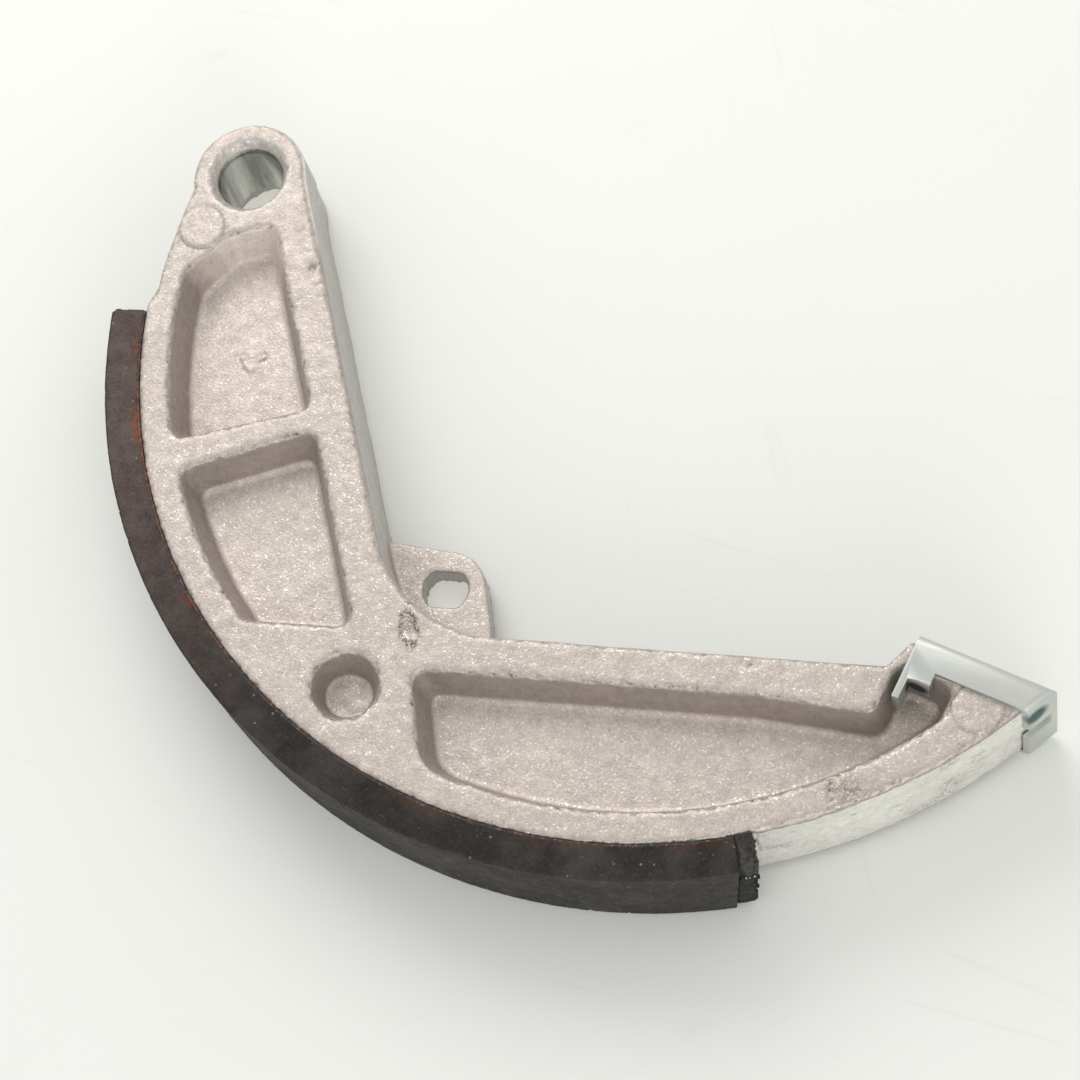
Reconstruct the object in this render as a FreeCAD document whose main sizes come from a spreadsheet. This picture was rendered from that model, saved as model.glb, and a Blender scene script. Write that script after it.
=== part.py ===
import FreeCAD, Part
import os
from math import atan2, cos, degrees, hypot, radians, sin, sqrt, tan
import Sketcher

# Brake shoe of a small drum brake: a cast aluminium shoe, a bonded friction lining, the film
# of adhesive between them and a folded steel cap on the end that the cam pushes.
# Origin: axis of the pivot bore, halfway across the shoe, on the parting plane of the casting.
# +X runs from the pivot to the axle of the drum, +Z along the bore. Lengths are in millimetres,
# angles in degrees.

SIZES = [
    # Drum and lining
    ("friction_radius", 75.0, "drum axle to the face of the lining"),
    ("lining_thickness", 4.5, "friction lining, measured along the radius"),
    ("lining_start", 199.8, "angle of the lining's end beside the pivot"),
    ("lining_finish", 304.3, "angle of the lining's end beside the toe"),
    ("lining_skew", 1.9, "lean of the toe end of the lining across its width"),
    ("film_thickness", 0.15, "adhesive between lining and casting"),
    ("lining_round", 0.8, "worn corner of the lining's end beside the pivot"),
    ("bead_start", 304.5, "angle where the squeezed-out adhesive starts, past the lining"),
    ("bead_finish", 306.4, "angle where it ends"),
    ("bead_step", 0.5, "bead below the friction face"),
    ("bead_slit", 1.2, "tear that parts the bead in two lobes"),
    ("bead_slit_level", 12.0, "top of the tear above the resting face"),
    ("bead_root", 2.0, "adhesive left unbroken at the foot of the tear"),
    # Casting
    ("shoe_width", 16.0, "casting and lining, along the axle"),
    ("web_thickness", 4.0, "wall left between the pockets of both sides"),
    ("rim_wall", 4.2, "rim behind the lining, at the mouth of the pockets"),
    ("arm_rib", 5.3, "rib along the straight inner wall of the arm"),
    ("toe_rib", 5.1, "rib along the inner wall that leads to the toe"),
    ("arm_angle", 51.4, "fall of the arm's inner wall"),
    ("toe_angle", 19.25, "rise of the toe's inner wall"),
    ("elbow_radius", 18.0, "hollow of the inner walls at the elbow"),
    ("toe_start", 305.0, "angle where the outer wall starts to flare to the toe"),
    ("toe_finish", 335.4, "angle where the flared wall ends at the tip of the toe"),
    ("toe_flare", 8.15, "radius of the flared wall, more than the seat of the lining"),
    ("casting_draft", 0.8, "draft of the outer walls, from the parting plane"),
    ("edge_chamfer", 0.4, "broken edges of both side faces"),
    # Pivot
    ("pivot_inset", 7.55, "pivot axis inside the seat of the lining"),
    ("boss_radius", 7.95, "round boss about the pivot"),
    ("arm_offset", 7.6, "pivot axis to the arm's inner wall"),
    ("arm_blend", 11.0, "hollow where the arm's inner wall meets the boss"),
    ("neck_step", 1.05, "outer wall beside the boss, below the seat of the lining"),
    ("neck_blend", 1.5, "hollow where that wall meets the boss"),
    ("neck_finish", 196.7, "angle where that wall starts to rise"),
    ("seat_start", 199.3, "angle where it reaches the seat"),
    ("bore_diameter", 8.9, "pivot bore"),
    ("mouth_diameter", 11.2, "cast mouth of the pivot bore"),
    ("mouth_depth", 1.8, "depth of that mouth"),
    ("foot_diameter", 12.2, "mouth of the pivot bore at the resting face"),
    ("foot_depth", 4.0, "depth of that mouth"),
    # Pockets
    ("pocket_draft", 13.0, "slope of the pocket walls"),
    ("pocket_corner", 1.8, "upright corners of the pockets"),
    ("pocket_sweep", 5.0, "long pocket, corner behind the elbow"),
    ("floor_round", 1.2, "hollow between pocket wall and floor"),
    ("upper_rib_angle", 216.6, "side of the cross rib next to the upper pocket"),
    ("middle_rib_angle", 220.4, "side of the cross rib next to the middle pocket"),
    ("boss_bar", 8.6, "pivot axis to the upper pocket, along the arm"),
    ("shoulder_angle", 67.0, "slant of the upper pocket beside the rim"),
    ("shoulder_offset", 5.4, "pivot axis to that slant, measured square to it"),
    ("elbow_bar", 0.2, "middle pocket below the line of the toe's inner wall"),
    ("long_side_angle", 56.5, "fall of the long pocket's side at the elbow"),
    ("long_side_gap", 8.5, "centre of the core recess to that side"),
    ("long_bend_angle", 14.6, "rise of the toe rib where it widens"),
    ("long_bend_rib", 3.42, "widening rib, seen from the drum's axle"),
    ("hook_room", 0.6, "end of the toe rib in the long pocket, before the face under the cap"),
    ("tip_wall", 10.0, "tip of the toe to the long pocket"),
    ("cam_wall", 3.3, "casting behind the cap, beside the long pocket"),
    # Core recess at the elbow
    ("recess_angle", 256.31, "direction of the core recess from the drum's axle"),
    ("recess_inset", 8.03, "centre of the core recess inside the seat of the lining"),
    ("recess_diameter", 9.3, "mouth of the core recess"),
    ("recess_floor", 5.7, "flat floor of the core recess"),
    ("recess_depth", 4.6, "depth of the core recess"),
    # Toe and cap
    ("cam_length", 17.6, "casting's face under the cap"),
    ("nose_run", 1.6, "slope from that face to the inner wall, along the face"),
    ("nose_rise", 4.22, "slope from that face to the inner wall, square to the face"),
    ("cap_sheet", 0.9, "sheet of the cap"),
    ("cap_gap", 0.05, "clearance between cap and casting"),
    ("cap_flange", 4.1, "flange of the cap over the casting"),
    ("cap_bend", 0.35, "inner bend radius of the cap"),
    ("cap_inset", 0.8, "near end of the cap past the end of the casting's face"),
    ("hook_reach", 8.9, "hook of the cap, below its outer face"),
    ("hook_depth", 3.8, "hook of the cap inside the pocket"),
    ("lip_length", 3.8, "lip beside the hook, along the cap"),
    ("lip_reach", 6.0, "lip beside the hook, below the outer face"),
    ("lip_depth", 3.2, "lip of the cap inside the pocket"),
    ("tail_length", 7.4, "end tabs of the cap over the tip of the toe"),
    # Spring ear
    ("ear_arm_gap", 6.12, "centre of the spring ear to the arm's inner wall"),
    ("ear_toe_gap", 10.04, "centre of the spring ear to the toe's inner wall"),
    ("ear_radius", 5.55, "round end of the spring ear"),
    ("ear_rise", 14.0, "slope of the ear's side towards the arm"),
    ("ear_fall", 57.0, "slope of the ear's side towards the toe"),
    ("ear_root", 2.5, "reach of the ear's root into the walls"),
    ("ear_bottom", 0.6, "spring ear above the resting face"),
    ("ear_thickness", 3.8, "spring ear"),
    ("hole_diameter", 6.1, "spring hole between its round sides"),
    ("hole_flats", 4.9, "spring hole across its flats"),
    # Marks of the ejector pins
    ("pin_diameter", 6.4, "ejector pads"),
    ("pin_height", 0.2, "ejector pads above the face"),
    ("pad_gap", 0.1, "clearance between the pad on the toe and the cap's flange"),
    ("boss_pad_back", 2.1, "pad beside the boss, before the pivot"),
    ("boss_pad_down", 9.7, "pad beside the boss, below the pivot"),
    ("toe_pad_back", 6.55, "pad on the toe, before the tip"),
    ("toe_pad_down", 4.9, "pad on the toe, below the casting's face under the cap"),
]

# Places that follow from the sizes. A drop is a distance below the line from pivot to axle.
PLACES = [
    ("half_width", "Sizes.shoe_width / 2", "parting plane to a side face"),
    ("pocket_depth", "half_width - Sizes.web_thickness / 2", "side face to a pocket's floor"),
    ("lining_base", "Sizes.friction_radius - Sizes.lining_thickness", "inner face of the lining"),
    ("seat_radius", "lining_base - Sizes.film_thickness", "outer wall of the casting"),
    ("neck_radius", "seat_radius - Sizes.neck_step", "outer wall beside the boss"),
    ("pocket_radius", "seat_radius - Sizes.rim_wall", "side of the pockets along the rim"),
    ("pivot_radius", "seat_radius - Sizes.pivot_inset", "drum axle to pivot axis"),
    ("arm_side", "Sizes.arm_offset - Sizes.arm_rib", "pivot axis to the pockets' arm side"),
    ("toe_radius", "seat_radius + Sizes.toe_flare", "flared outer wall along the toe"),
    ("toe_arc_x", "pivot_radius - Sizes.toe_flare * cos(Sizes.toe_start)", "its centre"),
    ("toe_arc_drop", "Sizes.toe_flare * sin(Sizes.toe_start)", "its centre"),
    ("tip_x", "toe_arc_x + toe_radius * cos(Sizes.toe_finish)", "tip of the toe"),
    ("cam_drop", "toe_arc_drop - toe_radius * sin(Sizes.toe_finish)", "face under the cap"),
    ("cam_start", "tip_x - Sizes.cam_length", "near end of that face"),
    ("cam_foot", "cam_start - Sizes.nose_run", "end of the toe's inner wall"),
    ("toe_wall", "cam_foot * sin(Sizes.toe_angle)"
     " + (cam_drop + Sizes.nose_rise) * cos(Sizes.toe_angle)", "pivot axis to the inner wall"),
    ("toe_side", "toe_wall + Sizes.toe_rib", "pivot axis to the long pocket's toe side"),
    ("bend_side", "toe_wall + Sizes.long_bend_rib"
     " - pivot_radius * (sin(Sizes.toe_angle) - sin(Sizes.long_bend_angle))",
     "pivot axis to the long pocket's widening side"),
    ("hook_x", "cam_start - Sizes.hook_room", "end of the toe rib in the long pocket"),
    ("pocket_end", "tip_x - Sizes.tip_wall", "far end wall of the long pocket"),
    ("narrowest", "(pocket_end - hook_x) / 2 - pocket_depth * tan(Sizes.pocket_draft)",
     "half the floor at the long pocket's narrow end"),
    ("corner_round", "min(Sizes.pocket_corner; 0.9 * narrowest)", "pocket corners, in their room"),
    ("floor_hollow", "min(Sizes.floor_round; 0.9 * narrowest)", "pocket floors, in their room"),
    ("cam_side", "cam_drop + Sizes.cam_wall", "long pocket's side behind the cap"),
    ("elbow_side", "toe_wall + Sizes.elbow_bar", "pivot axis to the middle pocket's elbow side"),
    ("recess_x", "pivot_radius + (seat_radius - Sizes.recess_inset) * cos(Sizes.recess_angle)",
     "core recess"),
    ("recess_drop", "(Sizes.recess_inset - seat_radius) * sin(Sizes.recess_angle)",
     "core recess"),
    ("long_side", "recess_x * sin(Sizes.long_side_angle)"
     " - recess_drop * cos(Sizes.long_side_angle) + Sizes.long_side_gap",
     "pivot axis to the long pocket's side at the elbow"),
    ("ear_arm", "Sizes.arm_offset + Sizes.ear_arm_gap", "pivot to ear, square to the arm"),
    ("ear_toe", "toe_wall - Sizes.ear_toe_gap", "pivot to ear, square to the toe"),
    ("ear_x", "(ear_arm * cos(Sizes.toe_angle) + ear_toe * cos(Sizes.arm_angle))"
     " / sin(Sizes.arm_angle + Sizes.toe_angle)", "centre of the spring ear"),
    ("ear_drop", "(ear_toe * sin(Sizes.arm_angle) - ear_arm * sin(Sizes.toe_angle))"
     " / sin(Sizes.arm_angle + Sizes.toe_angle)", "centre of the spring ear"),
    ("toe_pad_x", "tip_x - Sizes.toe_pad_back", "ejector pad on the toe"),
    ("toe_pad_drop", "cam_drop + Sizes.toe_pad_down", "ejector pad on the toe"),
    ("cap_skin", "Sizes.cap_gap + Sizes.cap_sheet", "casting to the cap's outer skin"),
    ("cap_start", "cam_start + Sizes.cap_inset", "near end of the cap"),
    ("cap_hollow", "cam_drop - Sizes.cap_gap", "inner skin of the cap's face"),
    ("cap_face", "cam_drop - cap_skin", "outer skin of the cap's face"),
    ("cap_edge", "cap_face + Sizes.cap_flange", "edge of the cap's flanges"),
    ("cap_half", "half_width + cap_skin", "parting plane to a flange's outer skin"),
]


def fill_sheet(doc, name, rows, sign=""):
    """Gives every row a cell with its own alias: a plain number, or a formula after a sign."""
    sheet = doc.addObject("Spreadsheet::Sheet", name)
    for row, (alias, content, note) in enumerate(rows, start=1):
        sheet.set(f"A{row}", alias)
        sheet.setAlias(f"B{row}", alias)
        sheet.set(f"B{row}", f"{sign}{content}")
        sheet.set(f"C{row}", note)
    doc.recompute()
    return sheet


DOC = FreeCAD.newDocument("brake_shoe")
SIZE_SHEET = fill_sheet(DOC, "Sizes", SIZES)
PLACE_SHEET = fill_sheet(DOC, "Places", PLACES, sign="=")


def size(name):
    return float(SIZE_SHEET.get(name))


def place(name):
    return float(PLACE_SHEET.get(name))


def axle():
    return FreeCAD.Vector(place("pivot_radius"), 0, 0)


def polar(radius, angle):
    """Point at an angle round the drum's axle."""
    turn = radians(angle)
    return axle() + FreeCAD.Vector(radius * cos(turn), radius * sin(turn), 0)


def heading(angle):
    return FreeCAD.Vector(cos(radians(angle)), sin(radians(angle)), 0)


def crossing(point_a, way_a, point_b, way_b):
    """Point where two lines meet, each given by a point and a direction."""
    det = way_a.x * way_b.y - way_a.y * way_b.x
    gap = point_b - point_a
    return point_a + way_a * ((gap.x * way_b.y - gap.y * way_b.x) / det)


# Bodies and sketches

def new_body(name):
    body = DOC.addObject("PartDesign::Body", name)
    body.Label = name
    return body


def new_sketch(body, name, role="XY_Plane", height=None):
    sketch = body.newObject("Sketcher::SketchObject", name)
    plane = [item for item in body.Origin.OriginFeatures if item.Role == role][0]
    sketch.AttachmentSupport = [(plane, "")]
    sketch.MapMode = "FlatFace"
    if height:
        sketch.setExpression("AttachmentOffset.Base.z", height)
    return sketch


def add_line(sketch, start, end):
    return sketch.addGeometry(Part.LineSegment(start, end), False)


def add_arc(sketch, centre, radius, first, last):
    circle = Part.Circle(centre, FreeCAD.Vector(0, 0, 1), radius)
    return sketch.addGeometry(Part.ArcOfCircle(circle, radians(first), radians(last)), False)


def add_circle(sketch, centre, radius):
    return sketch.addGeometry(Part.Circle(centre, FreeCAD.Vector(0, 0, 1), radius), False)


def join(sketch, *ends):
    """Makes pairs of end points coincide: each end is (geometry, 1 start or 2 end or 3 centre)."""
    for (geo_a, pos_a), (geo_b, pos_b) in zip(ends[0::2], ends[1::2]):
        sketch.addConstraint(Sketcher.Constraint("Coincident", geo_a, pos_a, geo_b, pos_b))


def bind(sketch, name, formula, *constraint):
    """Adds a constraint with a name and ties its value to the sheet."""
    index = sketch.addConstraint(Sketcher.Constraint(*constraint))
    sketch.renameConstraint(index, name)
    sketch.setExpression(f"Constraints.{name}", formula)


def bind_x(sketch, name, formula, geo, pos):
    """Place to the right of the origin."""
    point = sketch.getPoint(geo, pos)
    bind(sketch, name, formula, "DistanceX", -1, 1, geo, pos, point.x)


def bind_drop(sketch, name, formula, geo, pos):
    """Distance below the origin."""
    point = sketch.getPoint(geo, pos)
    bind(sketch, name, formula, "DistanceY", geo, pos, -1, 1, -point.y)


def bind_axle(sketch, name, geo):
    """Puts the centre of an arc on the drum's axle."""
    sketch.addConstraint(Sketcher.Constraint("PointOnObject", geo, 3, -1))
    bind_x(sketch, name, "Places.pivot_radius", geo, 3)


def pad(body, name, sketch, length, draft=None):
    """Pads a sketch; with a draft it grows both ways from the parting plane."""
    feature = body.newObject("PartDesign::Pad", name)
    feature.Profile = sketch
    sketch.Visibility = False
    feature.setExpression("Length", length)
    if draft:
        feature.SideType = "Two sides"
        feature.setExpression("Length2", length)
        feature.setExpression("TaperAngle", draft)
        feature.setExpression("TaperAngle2", draft)
    return feature


def cut(body, name, sketch, length, draft=None):
    feature = body.newObject("PartDesign::Pocket", name)
    feature.Profile = sketch
    feature.setExpression("Length", length)
    if draft:
        feature.setExpression("TaperAngle", draft)
    return feature


def mirror(body, name, features):
    """Repeats features on the other side of the parting plane."""
    feature = body.newObject("PartDesign::Mirrored", name)
    feature.Originals = features
    plane = [item for item in body.Origin.OriginFeatures if item.Role == "XY_Plane"][0]
    feature.MirrorPlane = (plane, [""])
    body.Tip = feature
    return feature


def dress(body, kind, name, base, edges, formula):
    feature = body.newObject(f"PartDesign::{kind}", name)
    feature.Base = (base, edges)
    feature.setExpression("Radius" if kind == "Fillet" else "Size", formula)
    return feature


# Shoe casting

def spoke(sketch, name, arc, end, angle):
    """Holds one end of an arc round the drum's axle at an angle from the sheet."""
    line = sketch.addGeometry(Part.LineSegment(axle(), sketch.getPoint(arc, end)), True)
    join(sketch, (line, 1), (arc, 3), (line, 2), (arc, end))
    bind(sketch, name, f"Sizes.{angle} - 360", "Angle", line, radians(size(angle) - 360))


def side_profile(body):
    """Outline of the casting seen along the axle: boss, neck, outer wall, toe, elbow and arm."""
    sketch = new_sketch(body, "side_profile")
    origin = FreeCAD.Vector()
    boss = size("boss_radius")
    seat = place("seat_radius")
    neck = place("neck_radius")
    arm_way = heading(-size("arm_angle"))
    arm_out = heading(90 - size("arm_angle"))
    toe_way = heading(size("toe_angle"))
    wall_point = heading(size("toe_angle") - 90) * place("toe_wall")
    corner = crossing(arm_out * size("arm_offset"), arm_way, wall_point, toe_way)
    half_turn = radians(size("arm_angle") + size("toe_angle")) / 2
    reach = size("elbow_radius") * tan(half_turn)
    arm_end = corner - arm_way * reach
    toe_end = corner + toe_way * reach
    elbow = arm_end + arm_out * size("elbow_radius")
    foot = crossing(wall_point, toe_way, FreeCAD.Vector(place("cam_foot"), 0, 0), heading(90))
    toe_centre = FreeCAD.Vector(place("toe_arc_x"), -place("toe_arc_drop"), 0)
    tip = FreeCAD.Vector(place("tip_x"), -place("cam_drop"), 0)
    nose = FreeCAD.Vector(place("cam_start"), -place("cam_drop"), 0)
    arm_blend = size("arm_blend")
    climb = size("arm_offset") + arm_blend
    run = sqrt((boss + arm_blend) ** 2 - climb ** 2)
    blend_centre = arm_out * climb + arm_way * run
    blend_turn = 90 - size("arm_angle") - degrees(atan2(run, climb))
    notch = size("neck_blend")
    pivot = place("pivot_radius")
    far = neck + notch
    cosine = (pivot ** 2 + far ** 2 - (boss + notch) ** 2) / (2 * pivot * far)
    neck_turn = degrees(atan2(sqrt(1 - cosine ** 2), cosine))
    notch_centre = polar(far, 180 + neck_turn)
    notch_turn = degrees(atan2(-notch_centre.y, -notch_centre.x))

    boss_arc = add_arc(sketch, origin, boss, blend_turn, 180 + notch_turn)
    notch_arc = add_arc(sketch, notch_centre, notch, neck_turn, notch_turn)
    neck_arc = add_arc(sketch, axle(), neck, 180 + neck_turn, size("neck_finish"))
    ramp = add_line(sketch, polar(neck, size("neck_finish")), polar(seat, size("seat_start")))
    seat_arc = add_arc(sketch, axle(), seat, size("seat_start"), size("toe_start"))
    toe_arc = add_arc(sketch, toe_centre, place("toe_radius"), size("toe_start") - 360,
                      size("toe_finish") - 360)
    cam_line = add_line(sketch, tip, nose)
    nose_line = add_line(sketch, nose, foot)
    toe_line = add_line(sketch, foot, toe_end)
    elbow_arc = add_arc(sketch, elbow, size("elbow_radius"), 270 - size("arm_angle"),
                        270 + size("toe_angle"))
    arm_line = add_line(sketch, arm_end, blend_centre - arm_out * arm_blend)
    blend_arc = add_arc(sketch, blend_centre, arm_blend, 180 + blend_turn,
                        270 - size("arm_angle"))

    join(sketch, (boss_arc, 3), (-1, 1), (neck_arc, 3), (seat_arc, 3), (neck_arc, 2), (ramp, 1),
         (ramp, 2), (seat_arc, 1), (toe_arc, 2), (cam_line, 1), (cam_line, 2), (nose_line, 1),
         (nose_line, 2), (toe_line, 1))
    for this, this_end, other, other_end in (
            (boss_arc, 2, notch_arc, 2), (notch_arc, 1, neck_arc, 1), (seat_arc, 2, toe_arc, 1),
            (toe_line, 2, elbow_arc, 2), (elbow_arc, 1, arm_line, 1), (arm_line, 2, blend_arc, 2),
            (blend_arc, 1, boss_arc, 1)):
        sketch.addConstraint(Sketcher.Constraint("Tangent", this, this_end, other, other_end))
    bind_axle(sketch, "pivot_radius", seat_arc)
    spoke(sketch, "neck_finish", neck_arc, 2, "neck_finish")
    spoke(sketch, "seat_start", seat_arc, 1, "seat_start")
    spoke(sketch, "toe_start", seat_arc, 2, "toe_start")
    for name, formula, arc, radius in (
            ("boss_radius", "Sizes.boss_radius", boss_arc, boss),
            ("neck_blend", "Sizes.neck_blend", notch_arc, notch),
            ("neck_radius", "Places.neck_radius", neck_arc, neck),
            ("seat_radius", "Places.seat_radius", seat_arc, seat),
            ("toe_radius", "Places.toe_radius", toe_arc, place("toe_radius")),
            ("elbow_radius", "Sizes.elbow_radius", elbow_arc, size("elbow_radius")),
            ("arm_blend", "Sizes.arm_blend", blend_arc, arm_blend)):
        bind(sketch, name, formula, "Radius", arc, radius)
    sketch.addConstraint(Sketcher.Constraint("Horizontal", cam_line))
    bind_drop(sketch, "cam_drop", "Places.cam_drop", cam_line, 2)
    bind_x(sketch, "cam_start", "Places.cam_start", cam_line, 2)
    bind_x(sketch, "cam_foot", "Places.cam_foot", toe_line, 1)
    bind(sketch, "toe_wall", "Places.toe_wall", "Distance", -1, 1, toe_line, place("toe_wall"))
    bind(sketch, "toe_rise", "Sizes.toe_angle - 180", "Angle", toe_line,
         radians(size("toe_angle") - 180))
    bind(sketch, "arm_offset", "Sizes.arm_offset", "Distance", -1, 1, arm_line,
         size("arm_offset"))
    bind(sketch, "arm_fall", "180 - Sizes.arm_angle", "Angle", arm_line,
         radians(180 - size("arm_angle")))
    return sketch


def circle_ends(point, way, radius):
    """Places where a line enters and leaves a circle round the drum's axle."""
    start = point - axle()
    half = start.dot(way)
    reach = sqrt(half * half - start.dot(start) + radius * radius)
    return point + way * (-half - reach), point + way * (-half + reach)


def pocket_mouth(body, name, sides):
    """Outline of a pocket: the arc along the rim, then straight sides, all counter-clockwise.

    A side is (label, heading, its formula, offset, its formula). The offset is the distance
    of the side from the pivot axis, positive where the axis lies outside the pocket; a side
    without an offset points at the drum's axle."""
    sketch = new_sketch(body, name, height="Places.half_width")
    wall = place("pocket_radius")
    ways = [heading(side[1]) for side in sides]
    bases = [axle() if side[3] is None else heading(side[1] + 90) * side[3] for side in sides]
    corners = [circle_ends(bases[0], ways[0], wall)[0]]
    for number in range(1, len(sides)):
        corners.append(crossing(bases[number - 1], ways[number - 1], bases[number], ways[number]))
    corners.append(circle_ends(bases[-1], ways[-1], wall)[1])

    first, last = [degrees(atan2(spot.y, spot.x - axle().x))
                   for spot in (corners[-1], corners[0])]
    rim = add_arc(sketch, axle(), wall, first, last)
    bind_axle(sketch, "pivot_radius", rim)
    bind(sketch, "rim_wall", "Places.pocket_radius", "Radius", rim, wall)
    lines = [add_line(sketch, start, end) for start, end in zip(corners, corners[1:])]
    loop = [rim] + lines
    for this, following in zip(loop, loop[1:] + loop[:1]):
        join(sketch, (this, 2), (following, 1))
    for line, (label, angle, angle_formula, offset, offset_formula) in zip(lines, sides):
        bind(sketch, f"{label}_heading", angle_formula, "Angle", line, radians(angle))
        if offset is None:
            sketch.addConstraint(Sketcher.Constraint("PointOnObject", rim, 3, line))
        else:
            bind(sketch, f"{label}_offset", offset_formula, "Distance", -1, 1, line, abs(offset))
    return sketch


def arm_side():
    """Side of a pocket along the arm's rib."""
    return ("arm", 180 - size("arm_angle"), "180 - Sizes.arm_angle",
            -place("arm_side"), "Places.arm_side")


def upper_mouth(body):
    return pocket_mouth(body, "upper_pocket_mouth", [
        ("cross_rib", size("upper_rib_angle") - 180, "Sizes.upper_rib_angle - 180", None, None),
        arm_side(),
        ("boss", -90 - size("arm_angle"), "-90 - Sizes.arm_angle",
         size("boss_bar"), "Sizes.boss_bar"),
        ("shoulder", size("shoulder_angle") - 180, "Sizes.shoulder_angle - 180",
         size("shoulder_offset"), "Sizes.shoulder_offset"),
    ])


def middle_mouth(body):
    return pocket_mouth(body, "middle_pocket_mouth", [
        ("elbow", size("toe_angle"), "Sizes.toe_angle",
         -place("elbow_side"), "Places.elbow_side"),
        arm_side(),
        ("cross_rib", size("middle_rib_angle") - 360, "Sizes.middle_rib_angle - 360", None, None),
    ])


def long_mouth(body):
    return pocket_mouth(body, "long_pocket_mouth", [
        ("toe", 90, "90", -place("pocket_end"), "Places.pocket_end"),
        ("cam", 180, "180", place("cam_side"), "Places.cam_side"),
        ("hook", -90, "-90", place("hook_x"), "Places.hook_x"),
        ("bend", size("long_bend_angle") - 180, "Sizes.long_bend_angle - 180",
         place("bend_side"), "Places.bend_side"),
        ("toe_rib", size("toe_angle") - 180, "Sizes.toe_angle - 180",
         place("toe_side"), "Places.toe_side"),
        ("elbow", -size("long_side_angle"), "-Sizes.long_side_angle",
         place("long_side"), "Places.long_side"),
    ])


def core_recess(body):
    """Conical recess that thins the thick knot of metal at the elbow."""
    sketch = new_sketch(body, "core_recess_mouth", height="Places.half_width")
    centre = FreeCAD.Vector(place("recess_x"), -place("recess_drop"), 0)
    ring = add_circle(sketch, centre, size("recess_diameter") / 2)
    bind_x(sketch, "recess_x", "Places.recess_x", ring, 3)
    bind_drop(sketch, "recess_drop", "Places.recess_drop", ring, 3)
    bind(sketch, "recess_diameter", "Sizes.recess_diameter", "Diameter", ring,
         size("recess_diameter"))
    slope = "-atan((Sizes.recess_diameter - Sizes.recess_floor) / 2 / Sizes.recess_depth)"
    return cut(body, "core_recess", sketch, "Sizes.recess_depth", slope)


def near(value, target):
    return abs(value - target) < 1e-4


def level_edges(shape, level):
    """Edges that lie flat at one distance from the parting plane, on either side."""
    names = []
    for number, edge in enumerate(shape.Edges, start=1):
        box = edge.BoundBox
        if near(abs(box.ZMin), level) and near(box.ZMin, box.ZMax):
            names.append(f"Edge{number}")
    return names


def upright_edges(shape, low, high, test=lambda spot: True):
    """Edges that climb from one distance from the parting plane to another."""
    names = []
    for number, edge in enumerate(shape.Edges, start=1):
        heights = sorted(abs(vertex.Z) for vertex in edge.Vertexes)
        if len(heights) == 2 and near(heights[0], low) and near(heights[1], high):
            if test(edge.CenterOfMass):
                names.append(f"Edge{number}")
    return names


def spring_ear(body):
    """Flat lug at the elbow: a round end with two sides that run tangent into the walls."""
    sketch = new_sketch(body, "ear_outline", height="Sizes.ear_bottom - Places.half_width")
    centre = FreeCAD.Vector(place("ear_x"), -place("ear_drop"), 0)
    radius = size("ear_radius")
    arm_root = size("arm_offset") - size("ear_root")
    toe_root = place("toe_wall") + size("ear_root")
    arm_way = heading(-size("arm_angle"))
    arm_base = heading(90 - size("arm_angle")) * arm_root
    toe_way = heading(size("toe_angle"))
    toe_base = heading(size("toe_angle") - 90) * toe_root
    first = 90 - size("ear_fall")
    last = 90 + size("ear_rise")
    start = centre + heading(first) * radius
    finish = centre + heading(last) * radius
    on_arm = crossing(finish, heading(last + 90), arm_base, arm_way)
    root = crossing(arm_base, arm_way, toe_base, toe_way)
    on_toe = crossing(toe_base, toe_way, start, heading(first - 90))

    tip = add_arc(sketch, centre, radius, first, last)
    upper = add_line(sketch, finish, on_arm)
    arm = add_line(sketch, on_arm, root)
    toe = add_line(sketch, root, on_toe)
    lower = add_line(sketch, on_toe, start)
    join(sketch, (upper, 2), (arm, 1), (arm, 2), (toe, 1), (toe, 2), (lower, 1))
    sketch.addConstraint(Sketcher.Constraint("Tangent", tip, 2, upper, 1))
    sketch.addConstraint(Sketcher.Constraint("Tangent", lower, 2, tip, 1))
    bind_x(sketch, "ear_x", "Places.ear_x", tip, 3)
    bind_drop(sketch, "ear_drop", "Places.ear_drop", tip, 3)
    bind(sketch, "ear_radius", "Sizes.ear_radius", "Radius", tip, radius)
    bind(sketch, "ear_rise", "Sizes.ear_rise - 180", "Angle", upper,
         radians(size("ear_rise") - 180))
    bind(sketch, "ear_fall", "180 - Sizes.ear_fall", "Angle", lower,
         radians(180 - size("ear_fall")))
    bind(sketch, "arm_heading", "-Sizes.arm_angle", "Angle", arm, radians(-size("arm_angle")))
    bind(sketch, "toe_heading", "Sizes.toe_angle", "Angle", toe, radians(size("toe_angle")))
    bind(sketch, "arm_root", "Sizes.arm_offset - Sizes.ear_root", "Distance", -1, 1, arm,
         arm_root)
    bind(sketch, "toe_root", "Places.toe_wall + Sizes.ear_root", "Distance", -1, 1, toe, toe_root)
    return pad(body, "spring_ear", sketch, "Sizes.ear_thickness")


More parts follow.
